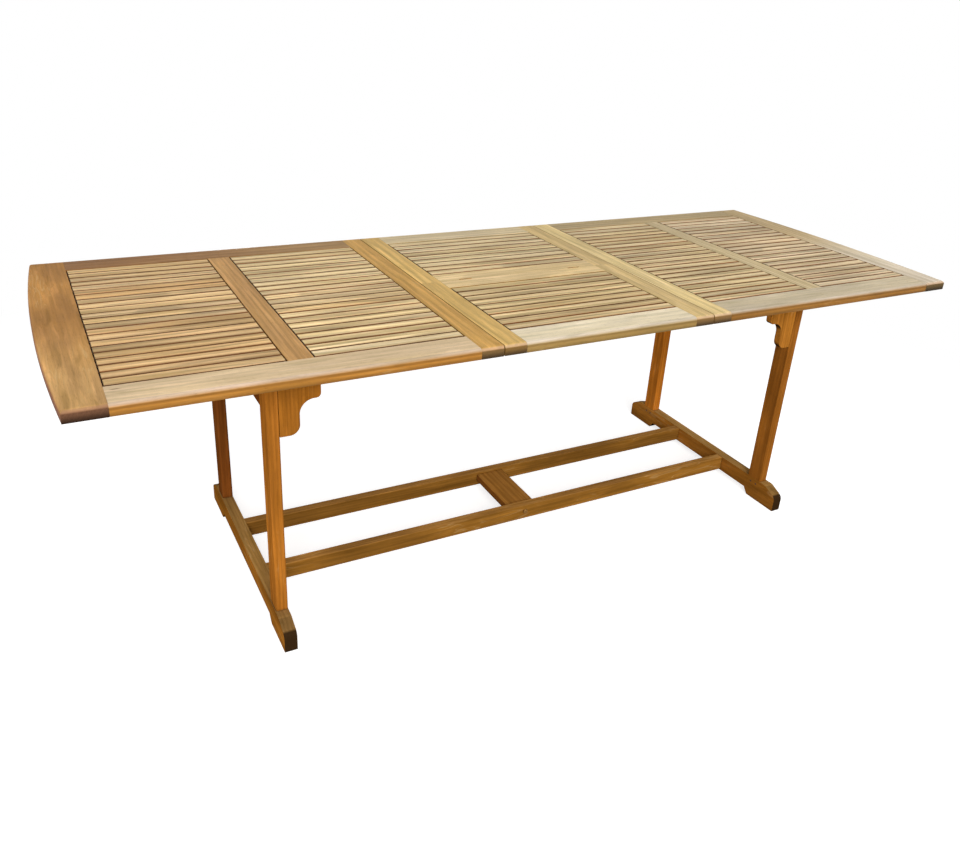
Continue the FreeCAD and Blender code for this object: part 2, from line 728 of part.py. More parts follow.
def make_side_rails():
    """The front and rear rails of a top, between its inner and end rails."""
    points = [("panel_half_width", "underside"), ("half_width", "underside"),
              ("half_width", "top_height"), ("panel_half_width", "top_height")]
    body = padded("right_rear_side_rail_body", "YZ_Plane", points, "end_start - inner_panel_start")
    place(body, x="inner_panel_start")
    rounded(body, "top_edge_radius", outer_top_edge)
    tenon = board("side_rail_tenon",
                  ("inner_panel_start - frame_tenon_length", "end_start + frame_tenon_length"),
                  SIDE_TENON_Y, FRAME_TENON_Z)
    mortise = board("side_rail_mortise", grown(MIDDLE_TENON_X),
                    ("panel_half_width - overrun", "panel_half_width + frame_tenon_length + fit_clearance"),
                    grown(FRAME_TENON_Z))
    whole = fused("right_rear_side_rail_whole", [body, tenon])
    four_corners("side_rail", cut("right_rear_side_rail_cut", whole, [mortise]))


def make_middle_rails():
    """The rail between the two slat panels of a top, grooved on both sides."""
    stock = board("middle_rail_stock", ("middle_start", "outer_panel_start"), PANEL_Y, BOARD_Z)
    tenon = board("middle_rail_tenon", MIDDLE_TENON_X,
                  ("-(panel_half_width + frame_tenon_length)", "panel_half_width + frame_tenon_length"),
                  FRAME_TENON_Z)
    grooves = [
        board("middle_rail_inner_groove", ("middle_start - overrun", "middle_start + groove_reach"),
              grown(PANEL_Y, "overrun"), GROOVE_Z),
        board("middle_rail_outer_groove", ("outer_panel_start - groove_reach", "outer_panel_start + overrun"),
              grown(PANEL_Y, "overrun"), GROOVE_Z),
    ]
    whole = fused("middle_rail_whole", [stock, tenon])
    tools = grooves + runner_mortises("middle_rail", RUNNER_TENON_PLACES["middle"])
    left_and_right("middle_rail", cut("right_middle_rail_cut", whole, tools))


def slat_row(name, start, end, first_edge, width, count):
    """A row of slats along X, each with a tongue at both ends, as separate solids."""
    side = (first_edge, "%s + %s" % (first_edge, width))
    stave = board(name + "_stave", (start + " + slat_end_gap", end + " - slat_end_gap"), side,
                  ("top_height - slat_thickness", "top_height"))
    reach = "slat_tongue_length - slat_end_gap"
    tongue = board(name + "_tongue", ("%s - (%s)" % (start, reach), "%s + (%s)" % (end, reach)),
                   (side[0] + " + slat_tongue_inset", side[1] + " - slat_tongue_inset"),
                   ("tongue_low", "tongue_high"))
    slat = fused(name + "_first_slat", [stave, tongue])
    document.recompute()
    pitch = number(width + " + slat_gap")
    row = document.addObject("Part::Feature", name)
    copies = [slat.Shape.translated(FreeCAD.Vector(0, index * pitch, 0)) for index in range(count)]
    row.Shape = Part.Compound(copies)
    return row


def make_top_slats():
    first_edge = "slat_gap - panel_half_width"
    panels = (("inner", "inner_panel_start", "middle_start"), ("outer", "outer_panel_start", "end_start"))
    for panel, start, end in panels:
        row = slat_row(panel + "_slat_row", start, end, first_edge, "slat_width", SIZES["slat_count"])
        left_and_right(panel + "_slats", row)


def make_runners():
    """The runner tenoned under one side of a top; its tongue rides in the groove of a slide rail."""
    stock = board("runner_stock", ("runner_start", "runner_end"),
                  ("runner_inner_face", "runner_outer_face"), ("runner_low", "underside"))
    tongue = board("runner_tongue", ("runner_start", "runner_end"),
                   ("runner_middle", "rail_inner + slide_groove_depth - slide_clearance"),
                   ("slide_groove_low + slide_clearance", "slide_groove_high - slide_clearance"))
    slot = board("runner_stop_slot",
                 ("stop_pin_x - over_travel - stop_slot_side", "stop_pin_x + seam + stop_slot_side"),
                 ("runner_outer_face", "rail_inner + slide_groove_depth + overrun"),
                 ("slide_groove_low - overrun", "slide_groove_high + overrun"))
    tenons = [
        runner_tenon("runner_%s_tenon" % rail, middle_x)
        for rail, middle_x in RUNNER_TENON_PLACES.items()
    ]
    whole = fused("runner_whole", [stock, tongue] + tenons)
    four_corners("runner", cut("right_rear_runner_cut", whole, [slot]))


# The folding leaf

LEAF_RAIL_X = ("leaf_panel_half_length", "leaf_end")
LEAF_INSIDE_X = ("-leaf_panel_half_length", "leaf_panel_half_length")
LEAF_TENON_X = ("-(leaf_panel_half_length + frame_tenon_length)",
                "leaf_panel_half_length + frame_tenon_length")
FOLD_RAIL_Y = ("fold_face", "leaf_fold_rail_width")
FOLD_TENON_Y = ("fold_face + frame_tenon_inset", "leaf_fold_rail_width - frame_tenon_inset")


def ear_tenon(name, by="0"):
    """The tenon on top of the right pivot ear, or with a clearance the mortise for it."""
    x = ("pivot_ear_middle - ear_tenon_thickness / 2", "pivot_ear_middle + ear_tenon_thickness / 2")
    y = ("pivot_offset - ear_tenon_width / 2", "pivot_offset + ear_tenon_width / 2")
    return board(name, grown(x, by), grown(y, by), ("pivot_z", "underside + ear_tenon_height + " + by))


def leaf_cross_rail(name, with_ear):
    """The right cross rail of the rear half of the leaf."""
    points = [("fold_face", "underside"), ("half_width", "underside"),
              ("half_width", "top_height"), ("fold_face", "top_height")]
    body = padded(name + "_body", "YZ_Plane", points, "cross_rail_width")
    place(body, x=LEAF_RAIL_X[0])
    rounded(body, "top_edge_radius", outer_top_edge)
    mortise_x = ("leaf_panel_half_length - overrun",
                 "leaf_panel_half_length + frame_tenon_length + fit_clearance")
    tools = [
        board(name + "_groove", ("leaf_panel_half_length - overrun", "leaf_panel_half_length + groove_reach"),
              ("leaf_fold_rail_width", "panel_half_width"), GROOVE_Z),
        board(name + "_outer_mortise", mortise_x, grown(SIDE_TENON_Y), grown(FRAME_TENON_Z)),
        board(name + "_fold_mortise", mortise_x, grown(FOLD_TENON_Y), grown(FRAME_TENON_Z)),
    ]
    if with_ear:
        tools.append(ear_tenon(name + "_ear_mortise", "fit_clearance"))
    return cut(name + "_cut", body, tools)


def make_leaf_cross_rails():
    right_rear = leaf_cross_rail("rear_leaf_right_rail", with_ear=True)
    node("rear_leaf_right_rail", right_rear)
    node("rear_leaf_left_rail", mirrored("rear_leaf_left_rail", right_rear, ACROSS_X))
    right_plain = leaf_cross_rail("front_leaf_right_rail", with_ear=False)
    right_front = mirrored("front_leaf_right_rail", right_plain, ACROSS_Y)
    node("front_leaf_right_rail", right_front)
    node("front_leaf_left_rail", mirrored("front_leaf_left_rail", right_front, ACROSS_X))


def both_halves(kind, rear_piece):
    """Name a piece of the rear half of the leaf and mirror it to the front half."""
    node("rear_leaf_" + kind, rear_piece)
    node("front_leaf_" + kind, mirrored("front_leaf_" + kind, rear_piece, ACROSS_Y))


def make_leaf_outer_rails():
    points = [("panel_half_width", "underside"), ("half_width", "underside"),
              ("half_width", "top_height"), ("panel_half_width", "top_height")]
    body = padded("leaf_outer_rail_body", "YZ_Plane", points, "2 * leaf_panel_half_length")
    place(body, x=LEAF_INSIDE_X[0])
    rounded(body, "top_edge_radius", outer_top_edge)
    tenon = board("leaf_outer_tenon", LEAF_TENON_X, SIDE_TENON_Y, FRAME_TENON_Z)
    both_halves("outer_rail", fused("rear_leaf_outer_rail_whole", [body, tenon]))


def hinge_places():
    """Middles of the hinges along the fold."""
    last = SIZES["hinge_count"] - 1
    return ["%s * hinge_spacing" % (index - last / 2) for index in range(last + 1)]


def make_leaf_fold_rails():
    """The rails that meet at the fold, recessed for the hinge plates and knuckles."""
    stock = board("leaf_fold_rail_stock", LEAF_INSIDE_X, FOLD_RAIL_Y, BOARD_Z)
    tenon = board("leaf_fold_tenon", LEAF_TENON_X, FOLD_TENON_Y, FRAME_TENON_Z)
    tools = []
    for index, middle in enumerate(hinge_places()):
        plate = ("%s - hinge_length / 2" % middle, "%s + hinge_length / 2" % middle)
        along = grown(plate, "hinge_end_clearance")
        tools.append(board("hinge_recess_%d" % index, along, ("fold_face - overrun", "hinge_recess_face"),
                           ("top_height - hinge_plate_height", "top_height + overrun")))
        tools.append(board("hinge_relief_%d" % index, along, ("fold_face - overrun", "hinge_relief"),
                           ("hinge_z - hinge_relief", "top_height + overrun")))
    whole = fused("leaf_fold_rail_whole", [stock, tenon])
    both_halves("fold_rail", cut("rear_leaf_fold_rail_cut", whole, tools))


def hinge_plate(name, middle, own_knuckles, other_knuckles, bore_radius):
    """One plate of a fold hinge with its own knuckles, clear of those of the other plate."""
    start = "%s - hinge_length / 2" % middle
    end = "%s + hinge_length / 2" % middle

    def along(share, inset):
        low, high = KNUCKLE_SHARES[share]
        return ("%s + %s * hinge_length + %s" % (start, low, inset),
                "%s + %s * hinge_length - %s" % (start, high, inset))

    flap = board(name + "_flap", (start, end), ("fold_face", "hinge_recess_face"),
                 ("top_height - hinge_plate_height", "hinge_z"))
    knuckles = [
        rod("%s_%s_knuckle" % (name, share), "x", "hinge_knuckle_radius",
            along(share, "hinge_end_clearance / 2"), z="hinge_z")
        for share in own_knuckles
    ]
    clear = [
        rod("%s_%s_clearance" % (name, share), "x", "hinge_relief", along(share, "0"), z="hinge_z")
        for share in other_knuckles
    ]
    bore = rod(name + "_bore", "x", bore_radius, grown((start, end), "overrun"), z="hinge_z")
    return cut(name, fused(name + "_whole", [flap] + knuckles), clear + [bore])


def make_leaf_hinges():
    """Hinges let into the fold; each pin is fast in the rear plate and runs in the front one."""
    rear = []
    front = []
    pins = []
    for index, middle in enumerate(hinge_places()):
        rear.append(hinge_plate("rear_hinge_plate_%d" % index, middle, ("first", "last"), ("middle",),
                                "hinge_pin_radius"))
        mould = hinge_plate("front_hinge_mould_%d" % index, middle, ("middle",), ("first", "last"),
                            "hinge_pin_radius + running_clearance")
        front.append(mirrored("front_hinge_plate_%d" % index, mould, ACROSS_Y))
        pins.append(rod("hinge_pin_%d" % index, "x", "hinge_pin_radius",
                        ("%s - hinge_length / 2" % middle, "%s + hinge_length / 2" % middle), z="hinge_z"))
    node("rear_leaf_hinge_plates", grouped("rear_hinge_group", rear))
    node("front_leaf_hinge_plates", grouped("front_hinge_group", front))
    node("leaf_hinge_pins", grouped("hinge_pin_group", pins))


def make_leaf_slats():
    row = slat_row("leaf_slat_row", LEAF_INSIDE_X[0], LEAF_INSIDE_X[1], "leaf_fold_rail_width + slat_gap",
                   "leaf_slat_width", SIZES["leaf_slat_count"])
    both_halves("slats", row)


def make_pivot_ears():
    """The ears tenoned under the rear half of the leaf, which turn on the pivot bolts."""
    sides = ("pivot_offset - pivot_ear_width / 2", "pivot_offset + pivot_ear_width / 2")
    points = [(sides[0], "pivot_ear_low"), (sides[1], "pivot_ear_low"),
              (sides[1], "underside"), (sides[0], "underside")]
    body = padded("right_pivot_ear_body", "YZ_Plane", points, "pivot_ear_thickness")
    place(body, x="pivot_ear_inner")
    rounded(body, "pivot_ear_radius",
            lambda edge: runs_along(edge, "x") and at(middle_of(edge).z, "pivot_ear_low"))
    bore = rod("ear_bore", "x", "pivot_bolt_diameter / 2 + running_clearance",
               ("pivot_ear_inner - overrun", "pivot_ear_outer + overrun"), y="pivot_offset", z="pivot_z")
    whole = fused("right_pivot_ear_whole", [body, ear_tenon("right_pivot_ear_tenon")])
    left_and_right("pivot_ear", cut("right_pivot_ear_cut", whole, [bore]))


def check_and_write():
    """Stop on any failed object or bad shape, then write one file per piece."""
    document.recompute()
    failed = [item.Name for item in document.Objects if {"Invalid", "Error"} & set(item.State)]
    if failed:
        raise RuntimeError("failed objects: " + ", ".join(failed))
    for name, piece in nodes.items():
        shape = piece.Shape
        if shape.isNull() or not shape.isValid() or not shape.Solids:
            raise RuntimeError("bad shape: " + name)
    os.makedirs("parts", exist_ok=True)
    for name, piece in nodes.items():
        piece.Shape.exportStep(os.path.join("parts", name + ".step"))


make_feet()
make_legs()
make_leg_pins()
make_trestle_rails()
make_brackets()
make_stretchers()
make_tie()
make_slide_rails()
make_stop_pins()
make_pivot_bars()
make_inner_rails()
make_end_rails()
make_side_rails()
make_middle_rails()
make_top_slats()
make_runners()
make_leaf_cross_rails()
make_leaf_outer_rails()
make_leaf_fold_rails()
make_leaf_hinges()
make_leaf_slats()
make_pivot_ears()
check_and_write()
print(len(nodes), "pieces written")
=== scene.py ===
"""Looks of the extending table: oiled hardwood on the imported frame, on a pale studio floor.

Everything is in metres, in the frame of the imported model: X along the table, -Y the front, Z up.
Colours of materials are sRGB, 0 to 255.
"""
import math

import bpy
from mathutils import Matrix, Vector


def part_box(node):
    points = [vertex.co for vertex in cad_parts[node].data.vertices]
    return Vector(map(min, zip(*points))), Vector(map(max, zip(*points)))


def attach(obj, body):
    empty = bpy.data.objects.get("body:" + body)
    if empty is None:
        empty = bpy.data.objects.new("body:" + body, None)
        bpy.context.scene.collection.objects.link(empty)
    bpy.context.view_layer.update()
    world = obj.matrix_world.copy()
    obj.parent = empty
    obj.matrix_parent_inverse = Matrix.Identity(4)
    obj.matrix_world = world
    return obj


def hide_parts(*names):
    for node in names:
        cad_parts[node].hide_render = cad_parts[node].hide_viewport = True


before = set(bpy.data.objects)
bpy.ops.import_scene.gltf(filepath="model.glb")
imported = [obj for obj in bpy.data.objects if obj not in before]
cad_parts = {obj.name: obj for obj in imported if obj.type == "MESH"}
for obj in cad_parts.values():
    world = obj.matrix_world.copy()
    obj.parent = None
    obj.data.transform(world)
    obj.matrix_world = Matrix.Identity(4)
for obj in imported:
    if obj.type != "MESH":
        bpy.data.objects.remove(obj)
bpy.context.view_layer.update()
scene = bpy.context.scene

# Sizes of the top
UNDERSIDE, TOP_FACE = (corner.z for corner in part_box("left_front_side_rail"))
TOP_EDGE_RADIUS = 0.009
END_BOW = 0.020
SLATS_IN_TOP_ROW = 22
SLATS_IN_LEAF_ROW = 9
SLAT_GAP = 0.005
# The upward faces of a row of slats that lie deeper than this are tongues
TONGUE_DEPTH = 0.0015

# Fineness of the bowed rails, along the bow and over the rounded edge
BOW_STEPS = 48
ROUND_STEPS = 8

# How far the square edges of pieces are eased, by the last word of their names
EASED_WIDTHS = {"stretcher": 0.003, "leg": 0.0014, "foot": 0.0014, "bracket": 0.0014, "slats": 0.0012}
EASED_WIDTH = 0.0008
EASED_SEGMENTS = 2
BOLT_HEAD_ROUNDING = 0.0019
BOLT_HEAD_SEGMENTS = 5
JOIN_DISTANCE = 1e-6
FLAT_ANGLE = math.radians(0.5)
SHARP_ANGLE = math.radians(50)

# How far down the outer edges of the top the colours of its upper face and the painted sheen of the rim
# reach, and where those edges begin
EDGE_DEPTH = 0.0105
EDGE_MARGIN = 0.0005
OUTER_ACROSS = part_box("left_rear_side_rail")[1].y - TOP_EDGE_RADIUS - EDGE_MARGIN
OUTER_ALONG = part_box("right_end_rail")[1].x - END_BOW - 2 * TOP_EDGE_RADIUS
# Levels between which a face passes from upright to upward: by its slope, and by its depth in the top
UPWARD_BY_SLOPE = (0.55, 0.86)
UPWARD_BY_DEPTH = (0.15, 0.95)
# Levels of the rim's painted sheen, of the painted shade line below it, and of the change to end grain
RIM_RISE, RIM_FALL = (0.30, 0.60), (0.97, 1.0)
SHADE_LINE_RISE, SHADE_LINE_FALL = (-0.40, 0.0), (0.20, 0.52)
END_LEVELS = (0.25, 0.75)
# Slopes at which a face passes from upright to underside and to end grain, and counts as facing up
UNDERSIDE_SLOPES = (-0.5, -0.9)
END_SLOPES = (0.20, 0.66)
LEAST_UP, MOSTLY_UP = 0.03, 0.5
# Edges and ends of boards in the top darken downwards: from what height, and to what shade
LOW_EDGE_HEIGHT, LOW_EDGE_SHADE = 0.014, 0.55
LOW_END_HEIGHT, LOW_END_SHADE = 0.018, 0.40

# For each axis that grain can follow: the axes along it, across it and through the board
AXES = {"X": (0, 1, 2), "Y": (1, 0, 2), "Z": (2, 0, 1)}
# Scales of the grain's noises, in waves per metre along and across the grain
STREAK_SCALES = (2.6, 95.0)
FIBRE_SCALES = (26.0, 820.0)
PORE_SCALES = (60.0, 1500.0)
BLOTCH_SCALES = (3.2, 11.0)
FLAME_SCALES = (7.0, 62.0)
END_DOT_SCALE = 700.0
# Growth rings about a pith line that wanders below the board
RINGS_PER_METRE = 120.0
RING_RISE, RING_FALL = (0.30, 0.88), (0.88, 1.0)
RING_WAVER = 3.2
WAVER_ALONG, WAVER_ACROSS = 2.1, 5.0
PITH_SPREAD = 0.16
PITH_DRIFT = 0.05
DRIFT_ALONG, DRIFT_ROW = 0.9, 4.0
PITH_LEAST_DEPTH = 0.035
PITH_DEPTH_RANGE = 0.07
# Steps between the seeds of boards, and between those of rows of slats
SEED_STEP = 1.7
SEED_START = 0.3
ROW_SEED_STEP = 40.0
# How far a seed shifts the grain along the board, and what gives one seed several random shares
GRAIN_SHIFT = 17.3
PITH_DRAW = 31.7
TONE_DRAW, LIGHTNESS_DRAW, EDGE_SHADE_DRAW = 1.37, 2.91, 4.13

# Strength of the marks in the wood: streaks and rings, flames, broad patches, and the sheen
PLAIN_CONTRAST, SOFT_CONTRAST, SLAT_CONTRAST, PIN_CONTRAST = 0.7, 0.35, 1.4, 0.5
PLAIN_FIGURE, BOLD_FIGURE = 0.14, 0.24
PLAIN_MOTTLE, DEEP_MOTTLE = 0.1, 0.24
TOP_GLOSS, SLAT_GLOSS = 0.2, 0.3
OWN_GLOSS = {"left_end_rail": 0.08, "right_end_rail": 0.14}
# Ranges of the noises over which the marks come out
NOISE_RANGE, FIBRE_RANGE, PORE_RANGE = (0.30, 0.72), (0.25, 0.75), (0.60, 0.70)
END_DOT_RANGE, ROUGHNESS_RANGE = (0.30, 0.70), (0.2, 0.8)
FLAME_RISE, FLAME_FALL = (0.56, 0.72), (0.44, 0.28)
LINE_MIDDLE, LINE_RANGE, LINE_PATCHES = 0.54, (0.040, 0.004), (0.50, 0.62)
# How far each mark darkens or lightens the wood
STREAK_DARKENING, STREAK_LIGHTENING = 0.30, 0.20
RING_DARKENING, RING_LIGHTENING = 0.16, 0.04
FIBRE_SHADES = (0.93, 1.05)
END_DOT_SHADES, END_RING_SHADES = (0.86, 1.12), (0.96, 1.03)
# The last of these darkens the painted shade line below the rounded front edges
PORE_SHARE, KNOT_SHARE, END_RIM_SHARE, SHADE_BELOW_RIM = 0.30, 0.7, 0.6, 0.36
# Shares of the painted shade along slat edges, differing at random between slats, and how far from a gap it
# reaches
EDGE_SHADE_SHARES, EDGE_SHADE_REACH = (0.25, 0.95), 0.004
# Painted shade in the gaps between boards, from ambient occlusion: how far it reaches, and the darkest shade
CREVICE_REACH, CREVICE_RANGE = 0.010, (0.20, 0.85)
TOP_CREVICE_SHADE, CREVICE_SHADE, TONGUE_SHADE = 0.50, 0.36, 0.8
# The oiled surface
WOOD_IOR = 1.45
FIBRE_ROUGHNESS, PORE_ROUGHNESS = (0.48, 0.64), 0.18
PORE_HEIGHT, RING_HEIGHT = -0.8, 0.35
WOOD_BUMP = {"strength": 0.30, "distance": 0.0004}

# Colours of boards: upward faces, upright faces, end grain. The upward faces, paler and greyer than the
# upright ones, are partly weathering and partly painted sheen
LEFT_FRONT = ((230, 202, 160), (184, 126, 52), (92, 66, 46))
LEFT_TOP = ((201, 153, 93), (182, 118, 44), (92, 66, 46))
LEFT_INNER = ((206, 159, 84), (186, 124, 46), (114, 87, 50))
LEFT_END = ((190, 137, 74), (124, 70, 30), (104, 72, 52))
LEFT_BACK = ((150, 106, 60), (150, 94, 42), (86, 62, 46))
LEAF_FRONT = ((241, 225, 192), (170, 137, 78), (124, 96, 66))
LEAF_LEFT = ((221, 182, 108), (180, 134, 64), (124, 93, 48))
LEAF = ((216, 186, 128), (180, 134, 64), (124, 94, 54))
LEAF_BACK = ((224, 203, 163), (180, 134, 64), (124, 94, 54))
LEAF_FOLD = ((234, 204, 150), (180, 134, 64), (120, 92, 62))
RIGHT_FRONT = ((202, 186, 156), (160, 110, 46), (104, 80, 56))
RIGHT_TOP = ((203, 181, 137), (166, 120, 60), (104, 80, 56))
RIGHT_BACK = ((182, 159, 116), (166, 120, 60), (104, 80, 56))
RIGHT_INNER = ((232, 205, 145), (176, 128, 62), (126, 95, 54))
RIGHT_END = ((228, 212, 186), (170, 122, 62), (96, 76, 44))
LEG = ((176, 115, 48), (178, 111, 39), (74, 50, 26))
# A darker copy of the leg's upright faces: painted shade on the inner face of the right front leg
RIGHT_FRONT_LEG_SHADED = ((176, 115, 48), (164, 101, 35), (74, 50, 26))
# A lighter copy: painted light that lifts the shade under the top on the right rear leg
RIGHT_REAR_LEG_LIT = ((172, 110, 40), (196, 118, 38), (74, 50, 26))
BRACKET = ((168, 106, 38), (172, 108, 36), (84, 52, 20))
# A lighter copy: painted light that lifts the shade under the top on the right front bracket
RIGHT_BRACKET_LIT = ((172, 108, 40), (186, 120, 44), (60, 38, 18))
# The stretchers' upward faces are painted lighter, making up for the shade of the top
STRETCHER_LIT_TOP = ((168, 120, 60), (141, 96, 37), (74, 50, 26))
FOOT = ((166, 126, 70), (158, 102, 36), (54, 37, 20))
TIE = ((176, 121, 54), (142, 88, 34), (74, 50, 26))
# A darker copy of the base colours: painted shadow of the table, on the left rear leg and the trestle rails
BASE_IN_SHADOW = ((126, 78, 34), (126, 70, 26), (66, 44, 24))
INSIDE = ((170, 118, 62), (160, 104, 50), (90, 64, 44))
PIN = ((70, 46, 28), (70, 46, 28), (54, 36, 22))

# Boards with colours of their own, by the ends of their names; the first that fits counts
BOARD_COLOURS = {
    "front_leaf_outer_rail": LEAF_FRONT, "rear_leaf_outer_rail": LEAF_BACK, "fold_rail": LEAF_FOLD,
    "leaf_left_rail": LEAF_LEFT, "left_inner_rail": LEFT_INNER, "right_inner_rail": RIGHT_INNER,
    "left_front_side_rail": LEFT_FRONT, "left_rear_side_rail": LEFT_BACK, "left_end_rail": LEFT_END,
    "right_front_side_rail": RIGHT_FRONT, "right_rear_side_rail": RIGHT_BACK, "right_end_rail": RIGHT_END,
    "right_rear_leg": RIGHT_REAR_LEG_LIT, "right_front_leg": RIGHT_FRONT_LEG_SHADED, "left_rear_leg": BASE_IN_SHADOW,
    "leg": LEG, "right_front_bracket": RIGHT_BRACKET_LIT, "bracket": BRACKET, "trestle_rail": BASE_IN_SHADOW,
    "slide_rail": LEG, "stretcher_tie": TIE, "stretcher": STRETCHER_LIT_TOP, "foot": FOOT,
}

# Upward faces of the slats, by row, and how much single slats differ, where that isn't the usual share
SLAT_TOPS = {
    "left_outer": (246, 211, 156), "left_inner": (255, 229, 179), "rear_leaf": (236, 214, 168),
    "front_leaf": (233, 208, 157), "right_inner": (226, 202, 154), "right_outer": (228, 206, 168),
}
# Slat sides and ends, seen only in the gaps, are painted dark: painted shade of the gaps
SLAT_SIDE_IN_SHADE = (92, 54, 23)
SLAT_END_IN_SHADE = (60, 38, 20)
SLAT_SPREAD = 0.5
OWN_SPREADS = {"left_outer": 1.0, "left_inner": 0.8}
# How single slats differ, as shares of the row's palest colour
SLAT_TONES = (
    (0.00, (1.00, 1.00, 1.00, 1.0)), (0.16, (0.88, 0.82, 0.72, 1.0)), (0.30, (0.84, 0.70, 0.52, 1.0)),
    (0.44, (1.00, 0.98, 0.95, 1.0)), (0.58, (0.92, 0.86, 0.72, 1.0)), (0.72, (0.76, 0.75, 0.74, 1.0)),
    (0.84, (0.68, 0.58, 0.44, 1.0)), (1.00, (0.96, 0.93, 0.88, 1.0)),
)
SLAT_DARKENING, SLAT_LIGHTENING = 0.16, 0.10

# Marks and single faces
# Painted highlights on the rounded upper rims of end grain in the top
END_RIM_HIGHLIGHT = (188, 158, 132)
LEFT_END_RIM_HIGHLIGHT = (146, 108, 86)
# Tongues in the end gaps of the slats, painted a darker brown as the shade of those gaps
TONGUE_IN_SHADE = (150, 98, 48)
BOARD_UNDERSIDE = (164, 114, 58)
SLAT_UNDERSIDE = (176, 128, 74)
# Painted shade along the edges of slats beside the gaps, as if those edges were rounded
SLAT_EDGE_SHADE = (134, 78, 28)
SAWN_LINE = (238, 206, 150)
PORE = (92, 60, 32)
KNOT = (104, 66, 36)
# What the painted sheen multiplies the linear colour of the rounded front edges by: a greyer, darker painted
# reflection
RIM_SHEEN_TONE = (0.72, 0.725, 0.85, 1.0)
# The share of that painted sheen on each of the front boards
RAIL_SHEEN = {"left_front_side_rail": 1.0, "front_leaf_outer_rail": 0.8, "right_front_side_rail": 0.6}
# A small knot in the upper face: its place, and its half sizes
KNOTS = {"left_front_side_rail": (-1.083, -0.388)}
KNOT_HALF_LENGTH, KNOT_HALF_WIDTH = 0.014, 0.0035
# Boards whose upper face changes along the grain: from where, to where, by what share, to what colour
PALING = {
    # On the left end rail the paling towards the front is a painted sheen
    "left_end_rail": (0.05, -0.42, 0.6, (214, 174, 118)),
    "left_rear_side_rail": (-0.90, -0.40, 0.6, (186, 152, 102)),
    "right_end_rail": (-0.24, 0.14, 0.85, (190, 162, 112)),
}

# Metals: colour, roughness
BRASS = ((176, 128, 66), 0.24)
STEEL = ((176, 178, 180), 0.42)
SCRATCH_SCALE, SCRATCH_RANGE = 900.0, (0.25, 0.75)
TARNISH_SCALE, TARNISH_RANGE = 54.0, (0.35, 0.70)
TARNISH_SHADE = 0.70
ROUGHNESS_SPREAD = 0.25
METAL_BUMP = {"strength": 0.15, "distance": 0.0001}

# Floor and surrounding light, as linear greys and strengths
FLOOR_HALF = 30.0
FLOOR_DROP = 0.0005
FLOOR_GREY = 0.40
FLOOR_SEEN_GREY, FLOOR_SEEN_GLOW = 0.6, 0.74
# Distances from the middle between which the floor that is seen turns white
FLOOR_FADE = (1.3, 2.6)
WHITE = (1.0, 1.0, 1.0, 1.0)
FILL_COLOUR, FILL_STRENGTH = (0.94, 0.97, 1.0, 1.0), 0.32

# The photograph's camera, found from the table's corners: place, angles in degrees, lens in pixels
CAMERA_PLACE = (-1.2032, -1.9803, 1.4536)
CAMERA_TURN, CAMERA_DROP, CAMERA_ROLL = 29.891, 25.002, 3.770
PICTURE_WIDTH, PICTURE_HEIGHT = 960, 843
FOCAL_LENGTH = 879.0
LENS_MIDDLE_X, LENS_MIDDLE_Y = 492.4, 393.1
SENSOR_WIDTH_MM = 36.0

# Sockets of the colour mix node
MIX_SHARE, MIX_FIRST, MIX_SECOND, MIX_RESULT = 0, 6, 7, 2


# Node trees

